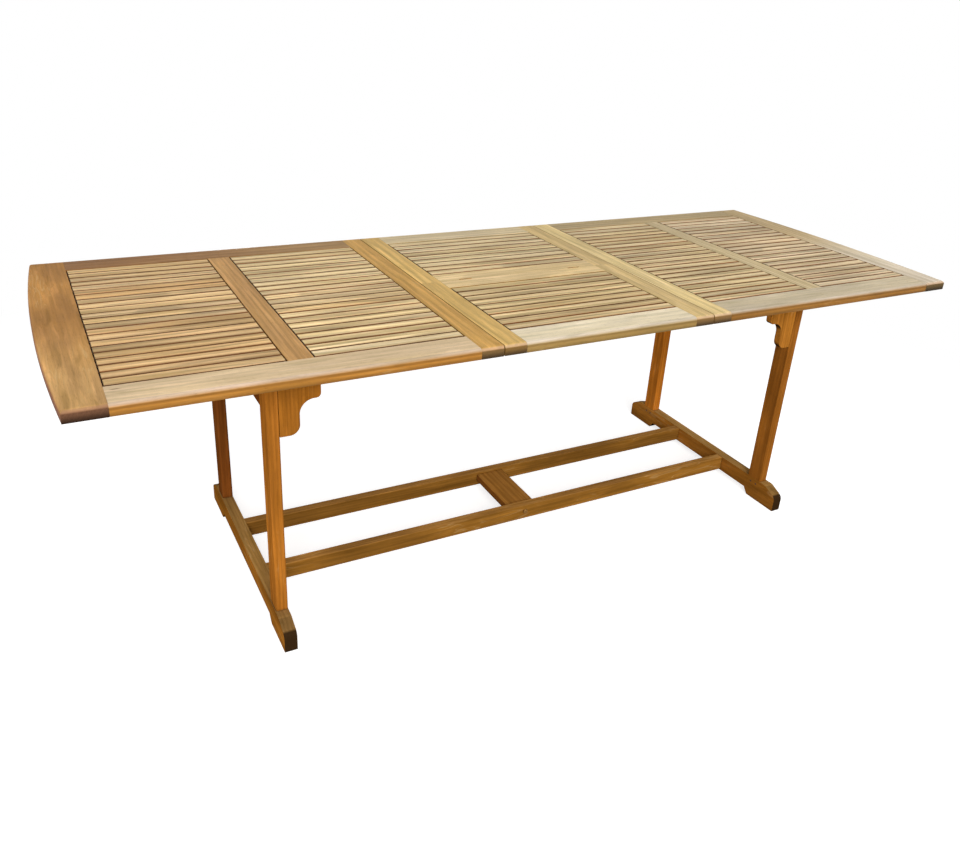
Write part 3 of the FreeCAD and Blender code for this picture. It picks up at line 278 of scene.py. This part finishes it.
class Tree:
    """Short calls for adding linked nodes to one node tree."""

    def __init__(self, tree):
        self.tree = tree

    def node(self, kind, **settings):
        made = self.tree.nodes.new(kind)
        for key, value in settings.items():
            setattr(made, key, value)
        return made

    def feed(self, socket, value):
        """Link an output to a socket, or set the socket's own value."""
        if isinstance(value, bpy.types.NodeSocket):
            self.tree.links.new(value, socket)
        else:
            socket.default_value = value

    def math(self, operation, first, second=None, third=None):
        made = self.node("ShaderNodeMath", operation=operation)
        for socket, value in zip(made.inputs, (first, second, third)):
            if value is not None:
                self.feed(socket, value)
        return made.outputs[0]

    def times(self, first, second):
        return self.math("MULTIPLY", first, second)

    def minus(self, first, second):
        return self.math("SUBTRACT", first, second)

    def above(self, value, limit):
        """1 where a value is greater than a limit, 0 elsewhere."""
        return self.math("GREATER_THAN", value, limit)

    def reach(self, first, second):
        """Length of the long side of a right triangle, from the other two."""
        squares = [self.math("POWER", side, 2.0) for side in (first, second)]
        return self.math("SQRT", self.math("ADD", *squares))

    def combine(self, x, y, z):
        made = self.node("ShaderNodeCombineXYZ")
        for socket, value in zip(made.inputs, (x, y, z)):
            self.feed(socket, value)
        return made.outputs[0]

    def split(self, vector):
        made = self.node("ShaderNodeSeparateXYZ")
        self.feed(made.inputs[0], vector)
        return made.outputs

    def noise(self, x, y, z, detail=2.0, roughness=0.5, distortion=0.0):
        made = self.node("ShaderNodeTexNoise")
        self.feed(made.inputs["Vector"], self.combine(x, y, z))
        made.inputs["Scale"].default_value = 1.0
        made.inputs["Detail"].default_value = detail
        made.inputs["Roughness"].default_value = roughness
        made.inputs["Distortion"].default_value = distortion
        return made.outputs["Fac"]

    def white(self, value):
        """A random share that stays the same for the same value."""
        made = self.node("ShaderNodeTexWhiteNoise", noise_dimensions="1D")
        self.feed(made.inputs["W"], value)
        return made.outputs["Value"]

    def span(self, value, low, high, to_low=0.0, to_high=1.0, smooth=True):
        """Carry a value from one range over to another, and no further."""
        kind = "SMOOTHSTEP" if smooth else "LINEAR"
        made = self.node("ShaderNodeMapRange", interpolation_type=kind)
        for socket, item in zip(made.inputs, (value, low, high, to_low, to_high)):
            self.feed(socket, item)
        return made.outputs[0]

    def band(self, value, rise, fall):
        """How far a value is through one range, less how far it is through another."""
        return self.minus(self.span(value, *rise), self.span(value, *fall))

    def mix(self, share, first, second, blend="MIX"):
        made = self.node("ShaderNodeMix", data_type="RGBA", blend_type=blend)
        self.feed(made.inputs[MIX_SHARE], share)
        self.feed(made.inputs[MIX_FIRST], first)
        self.feed(made.inputs[MIX_SECOND], second)
        return made.outputs[MIX_RESULT]

    def shade(self, colour, factor, green=1.0, blue=1.0, share=1.0):
        """Multiply a colour by a factor, which green and blue may take to other powers."""
        parts = [factor]
        for power in (green, blue):
            parts.append(factor if power == 1.0 else self.math("POWER", factor, power))
        return self.mix(share, colour, self.combine(*parts), "MULTIPLY")

    def ramp(self, value, stops):
        made = self.node("ShaderNodeValToRGB")
        points = made.color_ramp.elements
        while len(points) < len(stops):
            points.new(0.5)
        for point, (where, colour) in zip(points, stops):
            point.position = where
            point.color = colour
        self.feed(made.inputs[0], value)
        return made.outputs[0]

    def bump(self, height, strength, distance):
        made = self.node("ShaderNodeBump")
        made.inputs["Strength"].default_value = strength
        made.inputs["Distance"].default_value = distance
        self.feed(made.inputs["Height"], height)
        return made.outputs[0]

    def diffuse(self, grey):
        made = self.node("ShaderNodeBsdfDiffuse")
        made.inputs["Color"].default_value = (grey, grey, grey, 1.0)
        return made.outputs[0]

    def glow(self, kind, strength, colour=WHITE):
        """An emission or background shader."""
        made = self.node(kind)
        made.inputs["Color"].default_value = colour
        made.inputs["Strength"].default_value = strength
        return made.outputs[0]

    def choice(self, share, first, second):
        """A mix of two shaders."""
        made = self.node("ShaderNodeMixShader")
        for socket, value in zip(made.inputs, (share, first, second)):
            self.feed(socket, value)
        return made.outputs[0]

    def surface(self, shader, kind="ShaderNodeOutputMaterial"):
        self.feed(self.node(kind).inputs["Surface"], shader)

    def seen_ray(self):
        """1 for rays that show the background: straight from the camera, mirrored, or through glass."""
        path = self.node("ShaderNodeLightPath").outputs
        either = self.math("MAXIMUM", path["Is Camera Ray"], path["Is Glossy Ray"])
        return self.math("MAXIMUM", either, path["Is Transmission Ray"])


def emptied(owner):
    """The node tree of a new material or world, without its first nodes."""
    owner.use_nodes = True
    owner.node_tree.nodes.clear()
    return owner.node_tree


def tint(colour):
    """An sRGB colour, 0 to 255, as linear values for a socket."""
    def linear(part):
        part = part / 255
        return part / 12.92 if part <= 0.04045 else ((part + 0.055) / 1.055) ** 2.4
    return tuple(linear(part) for part in colour) + (1.0,)


# Wood

def growth_rings(t, along, across, through, seed):
    """Shells about a wandering pith line below the board."""
    aside, below = t.white(seed), t.white(t.math("ADD", seed, PITH_DRAW))
    waver = t.noise(t.times(along, WAVER_ALONG), t.times(across, WAVER_ACROSS), seed)
    drift = t.noise(t.times(along, DRIFT_ALONG), DRIFT_ROW, seed, detail=1.0)
    pith_across = t.math("MULTIPLY_ADD", t.minus(aside, 0.5), PITH_SPREAD, t.times(drift, PITH_DRIFT))
    pith_through = t.math("MULTIPLY_ADD", below, -PITH_DEPTH_RANGE, -PITH_LEAST_DEPTH)
    radius = t.reach(t.minus(across, pith_across), t.minus(through, pith_through))
    cycle = t.math("FRACT", t.math("ADD", t.times(radius, RINGS_PER_METRE), t.times(waver, RING_WAVER)))
    return t.band(cycle, RING_RISE, RING_FALL)


def grain_group():
    """A node group that draws one board's grain from its along, across and through distances."""
    group = bpy.data.node_groups.new("board_grain", "ShaderNodeTree")
    for name in ("Along", "Across", "Through", "Seed"):
        group.interface.new_socket(name, in_out="INPUT", socket_type="NodeSocketFloat")
    for name in ("Rings", "Streaks", "Fibre", "Pores", "Blotch", "Flames"):
        group.interface.new_socket(name, in_out="OUTPUT", socket_type="NodeSocketFloat")
    t = Tree(group)
    inside = t.node("NodeGroupInput").outputs
    seed, across, through = inside["Seed"], inside["Across"], inside["Through"]
    along = t.math("MULTIPLY_ADD", seed, GRAIN_SHIFT, inside["Along"])

    def drawn_out(scales, **settings):
        """Noise that is stretched along the grain."""
        lengthwise, crosswise = scales
        places = (t.times(along, lengthwise), t.times(across, crosswise), t.times(through, crosswise))
        return t.noise(*places, **settings)

    out = t.node("NodeGroupOutput").inputs
    t.feed(out["Rings"], growth_rings(t, along, across, through, seed))
    t.feed(out["Streaks"], drawn_out(STREAK_SCALES, detail=4.0, roughness=0.62, distortion=0.35))
    t.feed(out["Fibre"], drawn_out(FIBRE_SCALES, detail=2.0, roughness=0.6))
    t.feed(out["Pores"], t.span(drawn_out(PORE_SCALES, detail=1.0), *PORE_RANGE))
    t.feed(out["Blotch"], drawn_out(BLOTCH_SCALES, detail=3.0, roughness=0.55))
    t.feed(out["Flames"], drawn_out(FLAME_SCALES, detail=1.5, roughness=0.5, distortion=0.6))
    return group


GRAIN = grain_group()


class Board(Tree):
    """The node tree of one wooden piece, whose colour is laid on step by step."""

    def __init__(self, tree, grain, seed, in_top, row):
        super().__init__(tree)
        self.seed = seed
        self.in_top = in_top
        self.row = row
        place = self.node("ShaderNodeTexCoord")
        self.spot = self.split(place.outputs["Object"])
        self.facing = self.split(place.outputs["Normal"])
        self.looks_up = self.facing[2]
        self.along, self.across, self.through = (self.spot[axis] for axis in AXES[grain])
        self.own_seed = seed
        if row:
            self.find_slats()
        end_slope = self.math("ABSOLUTE", self.facing[AXES[grain][0]])
        self.towards_end = self.span(end_slope, *END_SLOPES)
        if in_top:
            self.find_edges()
        else:
            self.upward = self.span(self.looks_up, *UPWARD_BY_SLOPE)
            self.at_end = self.towards_end
        group = self.node("ShaderNodeGroup", node_tree=GRAIN)
        self.feed(group.inputs["Along"], self.along)
        self.feed(group.inputs["Across"], self.across)
        self.feed(group.inputs["Through"], self.through)
        self.feed(group.inputs["Seed"], self.own_seed)
        self.figures = group.outputs

    def depth(self):
        """How far a point lies below the top face."""
        return self.minus(TOP_FACE, self.spot[2])

    def find_slats(self):
        """Give each slat of a row its own seed, and find how far a point is from the nearest gap."""
        first_edge, pitch, self.spread = self.row
        steps = self.math("DIVIDE", self.minus(self.across, first_edge), pitch)
        self.own_seed = self.math("ADD", self.math("FLOOR", steps), self.seed)
        self.from_gap = self.times(self.math("PINGPONG", steps, 0.5), pitch)
        sunk = self.above(self.depth(), TONGUE_DEPTH)
        self.tongue = self.times(sunk, self.above(self.looks_up, MOSTLY_UP))

    def find_edges(self):
        """On the outer edges of the top the colours follow the depth below the top face."""
        by_depth = self.minus(1.0, self.math("DIVIDE", self.depth(), EDGE_DEPTH))
        far_across = self.above(self.math("ABSOLUTE", self.spot[1]), OUTER_ACROSS)
        far_along = self.above(self.math("ABSOLUTE", self.spot[0]), OUTER_ALONG)
        far = self.math("MAXIMUM", far_across, far_along)
        outer = self.times(far, self.above(self.looks_up, UNDERSIDE_SLOPES[0]))
        self.level = self.times(by_depth, self.math("MAXIMUM", outer, self.above(self.looks_up, LEAST_UP)))
        self.rim = self.band(self.level, RIM_RISE, RIM_FALL)
        self.upward = self.span(self.level, *UPWARD_BY_DEPTH)
        upright_share = self.minus(1.0, self.span(self.level, *END_LEVELS))
        self.at_end = self.times(self.towards_end, upright_share)

    def faces(self, top, side, paling):
        """Upward and upright faces, the upward ones paler partly from weathering and partly as painted
        sheen, and changing along the grain where paling says so.
        """
        upper = tint(top)
        if paling:
            start, stop, share, pale = paling
            upper = self.mix(self.times(self.span(self.along, start, stop), share), upper, tint(pale))
        return self.mix(self.upward, tint(side), upper)

    def slats(self, colour):
        """The tones of single slats, painted shade along their edges, and their tongues beside the rails,
        painted darker as shade of the end gaps.
        """
        tone = self.ramp(self.white(self.times(self.own_seed, TONE_DRAW)), SLAT_TONES)
        colour = self.mix(self.times(self.upward, self.spread), colour, tone, "MULTIPLY")
        lightness = self.span(self.white(self.times(self.own_seed, LIGHTNESS_DRAW)), 0.0, 1.0,
                              1.0 - SLAT_DARKENING * self.spread, 1.0 + SLAT_LIGHTENING * self.spread,
                              smooth=False)
        colour = self.shade(colour, lightness)
        edge = self.minus(1.0, self.span(self.from_gap, SLAT_GAP / 2, SLAT_GAP / 2 + EDGE_SHADE_REACH))
        edge_shade_share = self.span(self.white(self.times(self.own_seed, EDGE_SHADE_DRAW)), 0.0, 1.0, *EDGE_SHADE_SHARES, smooth=False)
        colour = self.mix(self.times(edge, edge_shade_share), colour, tint(SLAT_EDGE_SHADE))
        colour = self.mix(self.span(self.looks_up, *UNDERSIDE_SLOPES), colour, tint(SLAT_UNDERSIDE))
        return self.mix(self.tongue, colour, tint(TONGUE_IN_SHADE))

    def streaks(self, colour, contrast, mottle):
        """Streaks, growth rings and broad patches."""
        streak = self.span(self.figures["Streaks"], *NOISE_RANGE, 1.0 - STREAK_DARKENING * contrast,
                           1.0 + STREAK_LIGHTENING * contrast)
        colour = self.shade(colour, streak, green=1.08, blue=1.45)
        ring = self.span(self.figures["Rings"], 0.0, 1.0, 1.0 + RING_LIGHTENING * contrast,
                         1.0 - RING_DARKENING * contrast)
        colour = self.shade(colour, ring)
        patch = self.span(self.figures["Blotch"], *NOISE_RANGE, 1.0 - mottle, 1.0 + mottle)
        return self.shade(colour, patch, blue=0.8)

    def flames(self, colour, figure):
        """Pale and dark flames, and pale wavering lines where the saw ran along a growth ring."""
        flames = self.figures["Flames"]
        flame = self.band(flames, FLAME_RISE, FLAME_FALL)
        colour = self.shade(colour, self.math("MULTIPLY_ADD", flame, figure, 1.0), blue=1.4)
        off_line = self.math("ABSOLUTE", self.minus(flames, LINE_MIDDLE))
        patches = self.span(self.figures["Blotch"], *LINE_PATCHES)
        line = self.times(self.span(off_line, *LINE_RANGE), patches)
        return self.mix(self.times(line, figure), colour, tint(SAWN_LINE))

    def fibres(self, colour):
        """Fine fibres and open pores."""
        colour = self.shade(colour, self.span(self.figures["Fibre"], *FIBRE_RANGE, *FIBRE_SHADES))
        return self.mix(self.times(self.figures["Pores"], PORE_SHARE), colour, tint(PORE))

    def end_grain(self, colour, end):
        """End grain: darker, dotted instead of streaked."""
        dots = self.noise(self.times(self.across, END_DOT_SCALE), self.times(self.through, END_DOT_SCALE),
                          self.seed)
        ring = self.span(self.figures["Rings"], 0.0, 1.0, *END_RING_SHADES)
        tone = self.times(self.span(dots, *END_DOT_RANGE, *END_DOT_SHADES), ring)
        return self.mix(self.at_end, colour, self.shade(tint(end), tone))

    def painted_sheen_edge(self, colour, rim_sheen):
        """Painted reflection: a greyer, darker tone on the rounded upper edge, and a painted shade line
        below it.
        """
        colour = self.mix(self.times(self.rim, rim_sheen), colour, RIM_SHEEN_TONE, "MULTIPLY")
        below = self.band(self.level, SHADE_LINE_RISE, SHADE_LINE_FALL)
        return self.shade(colour, self.math("MULTIPLY_ADD", below, -SHADE_BELOW_RIM, 1.0))

    def low_faces(self, colour, end_rim_highlight):
        """In the top: painted highlights on the rounded rims of end grain, plain undersides, and edges that
        darken downwards.
        """
        rounded_end = self.times(self.towards_end, self.rim)
        colour = self.mix(self.times(rounded_end, END_RIM_SHARE), colour, tint(end_rim_highlight))
        colour = self.mix(self.span(self.looks_up, *UNDERSIDE_SLOPES), colour, tint(BOARD_UNDERSIDE))
        upright = self.span(self.looks_up, *reversed(UNDERSIDE_SLOPES))
        low_edge = self.span(self.spot[2], UNDERSIDE, UNDERSIDE + LOW_EDGE_HEIGHT, LOW_EDGE_SHADE, 1.0)
        colour = self.shade(colour, low_edge, share=upright)
        low_end = self.span(self.spot[2], UNDERSIDE, UNDERSIDE + LOW_END_HEIGHT, LOW_END_SHADE, 1.0)
        return self.shade(colour, low_end, share=self.at_end)

    def knot(self, colour, place):
        """A small dark knot in the upper face."""
        from_x = self.math("DIVIDE", self.minus(self.spot[0], place[0]), KNOT_HALF_LENGTH)
        from_y = self.math("DIVIDE", self.minus(self.spot[1], place[1]), KNOT_HALF_WIDTH)
        inside = self.span(self.reach(from_x, from_y), 1.0, 0.2)
        dark = self.times(inside, self.times(self.upward, KNOT_SHARE))
        return self.mix(dark, colour, tint(KNOT))

    def painted_crevice_shade(self, colour):
        """Painted shade in the gaps between boards, from ambient occlusion."""
        crevice = self.node("ShaderNodeAmbientOcclusion", samples=6)
        crevice.inputs["Distance"].default_value = CREVICE_REACH
        darkest = TOP_CREVICE_SHADE if self.in_top else CREVICE_SHADE
        shade = self.span(crevice.outputs["AO"], *CREVICE_RANGE, darkest, 1.0)
        if self.row:
            shade = self.math("MAXIMUM", shade, self.times(self.tongue, TONGUE_SHADE))
        return self.shade(colour, shade)

    def oiled(self, colour, gloss):
        """The surface: dull oil over fibres, pores and rings that can be felt."""
        fibre, pores = self.figures["Fibre"], self.figures["Pores"]
        shader = self.node("ShaderNodeBsdfPrincipled")
        self.feed(shader.inputs["Base Color"], colour)
        dull = self.span(fibre, *ROUGHNESS_RANGE, *FIBRE_ROUGHNESS)
        self.feed(shader.inputs["Roughness"], self.math("MULTIPLY_ADD", pores, PORE_ROUGHNESS, dull))
        shader.inputs["IOR"].default_value = WOOD_IOR
        shader.inputs["Specular IOR Level"].default_value = gloss
        height = self.math("MULTIPLY_ADD", pores, PORE_HEIGHT, fibre)
        height = self.math("MULTIPLY_ADD", self.figures["Rings"], RING_HEIGHT, height)
        self.feed(shader.inputs["Normal"], self.bump(height, **WOOD_BUMP))
        self.surface(shader.outputs[0])


def wood(name, grain, colours, seed, contrast, row=None, figure=0.0, mottle=PLAIN_MOTTLE, gloss=SLAT_GLOSS,
         rim_sheen=0.0, in_top=False, knot=None, paling=None, end_rim_highlight=None):
    """Oiled wood whose grain runs along one axis.

    colours are those of upward faces, of upright faces and of end grain. contrast is the strength
    of streaks and rings, figure the share of flames, mottle the depth of broad patches, and rim_sheen
    the share of painted sheen on rounded upper edges. row, for a row of slats, gives the first slat's edge,
    the pitch and how much slats differ. end_rim_highlight, for boards in the top, is the colour of the
    painted highlight on the rounded upper edge of their end grain.
    """
    top, side, end = colours
    material = bpy.data.materials.new(name)
    board = Board(emptied(material), grain, seed, in_top, row)
    colour = board.faces(top, side, paling)
    if row:
        colour = board.slats(colour)
    colour = board.streaks(colour, contrast, mottle)
    if figure:
        colour = board.flames(colour, figure)
    colour = board.fibres(colour)
    colour = board.end_grain(colour, end)
    if rim_sheen:
        colour = board.painted_sheen_edge(colour, rim_sheen)
    if in_top:
        colour = board.low_faces(colour, end_rim_highlight)
    if knot:
        colour = board.knot(colour, knot)
    board.oiled(board.painted_crevice_shade(colour), gloss)
    return material


def colours_of(name):
    """The three colours of a board, from its name."""
    if "runner" in name or "pivot" in name:
        return INSIDE
    for end, colours in BOARD_COLOURS.items():
        if name.endswith(end):
            return colours
    if "leaf" in name:
        return LEAF
    return LEFT_TOP if name.startswith("left") else RIGHT_TOP


def grain_of(name):
    """The axis that a board's grain follows: the long way of its box, upright in brackets and ears."""
    if name.endswith(("bracket", "pivot_ear")):
        return "Z"
    low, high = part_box(name)
    sizes = high - low
    return "XYZ"[max(range(3), key=lambda axis: sizes[axis])]


def is_in_top(name):
    """True for the rails of the two tops and of the leaf."""
    return name.endswith("rail") and "slide" not in name and "trestle" not in name


def board_wood(name, number):
    """The wood of one board."""
    in_top = is_in_top(name)
    bold = name == "left_end_rail"
    contrast = SOFT_CONTRAST if bold or name in RAIL_SHEEN else PLAIN_CONTRAST
    return wood(name, grain_of(name), colours_of(name), number * SEED_STEP + SEED_START, contrast,
                figure=BOLD_FIGURE if bold else PLAIN_FIGURE,
                mottle=DEEP_MOTTLE if bold or not in_top else PLAIN_MOTTLE,
                gloss=OWN_GLOSS.get(name, TOP_GLOSS) if in_top else 0.0,
                rim_sheen=RAIL_SHEEN.get(name, 0.0), in_top=in_top, knot=KNOTS.get(name),
                paling=PALING.get(name), end_rim_highlight=LEFT_END_RIM_HIGHLIGHT if bold else END_RIM_HIGHLIGHT)


def slat_wood(name, number):
    """The wood of one row of slats, whose pitch is measured from its box."""
    row = name.removesuffix("_slats")
    low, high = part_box(name)
    count = SLATS_IN_LEAF_ROW if "leaf" in name else SLATS_IN_TOP_ROW
    width = (high.y - low.y - (count - 1) * SLAT_GAP) / count
    layout = (low.y - SLAT_GAP / 2, width + SLAT_GAP, OWN_SPREADS.get(row, SLAT_SPREAD))
    colours = (SLAT_TOPS[row], SLAT_SIDE_IN_SHADE, SLAT_END_IN_SHADE)
    return wood(name, "X", colours, number * ROW_SEED_STEP, SLAT_CONTRAST, row=layout)


# Metal

def metal(name, colour, rough):
    """Plain turned metal with fine scratches and a slight tarnish."""
    material = bpy.data.materials.new(name)
    t = Tree(emptied(material))
    spot = t.split(t.node("ShaderNodeTexCoord").outputs["Object"])
    scratches = t.noise(*(t.times(part, SCRATCH_SCALE) for part in spot), detail=4.0)
    clouds = t.noise(*(t.times(part, TARNISH_SCALE) for part in spot), detail=3.0)
    tarnished = tuple(part * TARNISH_SHADE for part in colour)
    clear_share = t.span(clouds, *TARNISH_RANGE)
    roughness = (rough * (1 - ROUGHNESS_SPREAD), rough * (1 + ROUGHNESS_SPREAD))
    shader = t.node("ShaderNodeBsdfPrincipled")
    shader.inputs["Metallic"].default_value = 1.0
    t.feed(shader.inputs["Base Color"], t.mix(clear_share, tint(tarnished), tint(colour)))
    t.feed(shader.inputs["Roughness"], t.span(scratches, *SCRATCH_RANGE, *roughness))
    t.feed(shader.inputs["Normal"], t.bump(scratches, **METAL_BUMP))
    t.surface(shader.outputs[0])
    return material


brass = metal("brass", *BRASS)
steel = metal("zinc_steel", *STEEL)
FASTENERS = {
    "tie_bolts": brass, "rear_leaf_hinge_plates": brass, "front_leaf_hinge_plates": brass,
    "leaf_hinge_pins": brass, "stop_pins": steel, "pivot_bolts": steel,
}


# Pieces

def dress(name, piece, number):
    """Give a piece of the frame its own material."""
    if name in FASTENERS:
        material = FASTENERS[name]
    elif name == "leg_pins":
        material = wood(name, "X", PIN, number * SEED_STEP, PIN_CONTRAST)
    elif name.endswith("slats"):
        material = slat_wood(name, number)
    else:
        material = board_wood(name, number)
    piece.data.materials.clear()
    piece.data.materials.append(material)


def soften(piece, width, segments=EASED_SEGMENTS):
    """Ease the square edges of a piece."""
    joined = piece.modifiers.new("joined_faces", "WELD")
    joined.merge_threshold = JOIN_DISTANCE
    flat = piece.modifiers.new("flat_faces", "DECIMATE")
    flat.decimate_type = "DISSOLVE"
    flat.angle_limit = FLAT_ANGLE
    eased = piece.modifiers.new("eased_edges", "BEVEL")
    eased.width = width
    eased.segments = segments
    eased.limit_method = "ANGLE"
    eased.angle_limit = SHARP_ANGLE
    eased.use_clamp_overlap = True


def bowed_shape(low, high):
    """Corners, faces and face corner normals of an end rail with a bow and a rounded upper edge.

    The corners lie in rings, from the underside up to the top face. Each ring runs from the inner
    front corner along the bow to the inner rear corner.
    """
    out = 1 if high.x > 0 else -1
    inner, tip = sorted((abs(low.x), abs(high.x)))
    half = high.y
    bow_radius = (half ** 2 + END_BOW ** 2) / (2 * END_BOW)
    centre = tip - bow_radius
    levels = [(low.z, 0.0)]
    for step in range(ROUND_STEPS + 1):
        slope = math.pi / 2 * step / ROUND_STEPS
        levels.append((high.z - TOP_EDGE_RADIUS * (1 - math.sin(slope)), slope))
    corners, plan_normals, slopes = [], [], []
    for height, slope in levels:
        inset = TOP_EDGE_RADIUS * (1 - math.cos(slope))
        width = half - inset
        ring = [(inner, -width)]
        for step in range(BOW_STEPS + 1):
            across = width * (2 * step / BOW_STEPS - 1)
            ring.append((centre + math.sqrt((bow_radius - inset) ** 2 - across ** 2), across))
        ring.append((inner, width))
        for along, across in ring:
            corners.append((out * along, across, height))
            plan_normals.append(Vector((out * (along - centre), across, 0.0)).normalized())
            slopes.append(slope)
    faces, normals = [], []

    def add_face(indices, directions):
        """Add a face with a normal at each corner, wound the other way on the left rail."""
        faces.append(indices[::out])
        normals.extend(directions[::out])

    def tilted(plan, index):
        """A level direction, tilted up by the rounding at a corner."""
        return plan * math.cos(slopes[index]) + Vector((0, 0, math.sin(slopes[index])))

    size = BOW_STEPS + 3
    last = size * (len(levels) - 1)
    end_normals = {0: Vector((0, -1, 0)), size - 2: Vector((0, 1, 0))}
    for start in range(0, last, size):
        for step in range(size - 1):
            here, above = start + step, start + size + step
            quad = [here, here + 1, above + 1, above]
            add_face(quad, [tilted(end_normals.get(step, plan_normals[index]), index) for index in quad])
    add_face(list(range(size))[::-1], [Vector((0, 0, -1))] * size)
    add_face(list(range(last, last + size)), [Vector((0, 0, 1))] * size)
    inner_face = list(range(0, last + 1, size)) + list(range(last + size - 1, size - 2, -size))
    add_face(inner_face, [Vector((-out, 0, 0))] * len(inner_face))
    return corners, faces, normals


def bowed_rail(name, body):
    """A finely rounded stand-in for an end rail, whose packed facets are coarse along the bow."""
    corners, faces, normals = bowed_shape(*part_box(name))
    mesh = bpy.data.meshes.new(name + "_rounded")
    mesh.from_pydata(corners, [], faces)
    mesh.polygons.foreach_set("use_smooth", [True] * len(faces))
    mesh.normals_split_custom_set(normals)
    piece = bpy.data.objects.new(name + "_rounded", mesh)
    scene.collection.objects.link(piece)
    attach(piece, body)
    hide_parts(name)
    return piece


for number, name in enumerate(sorted(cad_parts)):
    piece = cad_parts[name]
    dress(name, piece, number)
    if name.endswith("end_rail"):
        rounded = bowed_rail(name, name.removesuffix("end_rail") + "top")
        rounded.data.materials.append(piece.data.materials[0])
    elif name == "tie_bolts":
        soften(piece, BOLT_HEAD_ROUNDING, BOLT_HEAD_SEGMENTS)
    elif name not in FASTENERS and name != "leg_pins":
        soften(piece, EASED_WIDTHS.get(name.split("_")[-1], EASED_WIDTH))


# Floor, lights and camera

def studio_floor():
    """A pale floor that is white to the camera, keeps the table's shadow and is clear from below."""
    mesh = bpy.data.meshes.new("studio_floor")
    sides = ((-1, -1), (1, -1), (1, 1), (-1, 1))
    mesh.from_pydata([(x * FLOOR_HALF, y * FLOOR_HALF, -FLOOR_DROP) for x, y in sides], [], [(0, 1, 2, 3)])
    floor = bpy.data.objects.new("studio_floor", mesh)
    scene.collection.objects.link(floor)
    material = bpy.data.materials.new("studio_floor")
    t = Tree(emptied(material))
    near = t.node("ShaderNodeAddShader")
    t.feed(near.inputs[0], t.diffuse(FLOOR_SEEN_GREY))
    t.feed(near.inputs[1], t.glow("ShaderNodeEmission", FLOOR_SEEN_GLOW))
    distance = t.node("ShaderNodeVectorMath", operation="LENGTH")
    t.feed(distance.inputs[0], t.node("ShaderNodeTexCoord").outputs["Object"])
    far_share = t.span(distance.outputs["Value"], *FLOOR_FADE)
    seen = t.choice(far_share, near.outputs[0], t.glow("ShaderNodeEmission", 1.0))
    from_above = t.choice(t.seen_ray(), t.diffuse(FLOOR_GREY), seen)
    below = t.node("ShaderNodeNewGeometry").outputs["Backfacing"]
    t.surface(t.choice(below, from_above, t.node("ShaderNodeBsdfTransparent").outputs[0]))
    mesh.materials.append(material)


def studio_world():
    """Soft light from all sides, and plain white where the background is seen."""
    world = bpy.data.worlds.new("studio_world")
    scene.world = world
    t = Tree(emptied(world))
    fill = t.glow("ShaderNodeBackground", FILL_STRENGTH, FILL_COLOUR)
    seen = t.glow("ShaderNodeBackground", 1.0)
    t.surface(t.choice(t.seen_ray(), fill, seen), "ShaderNodeOutputWorld")


def lamp(name, place, target, size, power, colour=(1.0, 1.0, 1.0)):
    """A soft round lamp aimed at a point."""
    data = bpy.data.lights.new(name, "AREA")
    data.shape = "DISK"
    data.size = size
    data.energy = power
    data.color = colour
    made = bpy.data.objects.new(name, data)
    made.location = place
    made.rotation_mode = "QUATERNION"
    made.rotation_quaternion = (Vector(target) - Vector(place)).to_track_quat("-Z", "Y")
    scene.collection.objects.link(made)


def photo_camera():
    """The photograph's camera, turned from the table's Y axis, dropped and rolled."""
    turn, drop, roll = (math.radians(angle) for angle in (CAMERA_TURN, CAMERA_DROP, CAMERA_ROLL))
    ahead = Vector((math.sin(turn) * math.cos(drop), math.cos(turn) * math.cos(drop), -math.sin(drop)))
    level = ahead.cross(Vector((0, 0, 1))).normalized()
    above = level.cross(ahead)
    right = math.cos(roll) * level + math.sin(roll) * above
    up = math.cos(roll) * above - math.sin(roll) * level
    data = bpy.data.cameras.new("photo_camera")
    data.sensor_fit = "HORIZONTAL"
    data.sensor_width = SENSOR_WIDTH_MM
    data.lens = FOCAL_LENGTH / PICTURE_WIDTH * SENSOR_WIDTH_MM
    data.shift_x = (PICTURE_WIDTH / 2 - LENS_MIDDLE_X) / PICTURE_WIDTH
    data.shift_y = (LENS_MIDDLE_Y - PICTURE_HEIGHT / 2) / PICTURE_WIDTH
    camera = bpy.data.objects.new("photo_camera", data)
    turned = Matrix((right, up, -ahead)).transposed().to_4x4()
    camera.matrix_world = Matrix.Translation(CAMERA_PLACE) @ turned
    scene.collection.objects.link(camera)
    scene.camera = camera


studio_floor()
studio_world()
lamp("key", (-2.4, -8.0, 4.6), target=(0.0, 0.0, 0.4), size=4.8, power=780.0, colour=(1.0, 0.98, 0.95))
lamp("low_left", (-2.6, -0.3, 0.5), target=(-0.77, 0.0, 0.35), size=0.8, power=9.5, colour=(1.0, 0.93, 0.85))
lamp("low_back", (0.6, 6.0, 0.35), target=(0.0, 0.0, 0.35), size=0.7, power=130.0)
lamp("overhead", (2.2, -2.1, 4.6), target=(0.0, 0.0, 0.7), size=2.6, power=60.0)
photo_camera()
scene.view_settings.view_transform = "Standard"
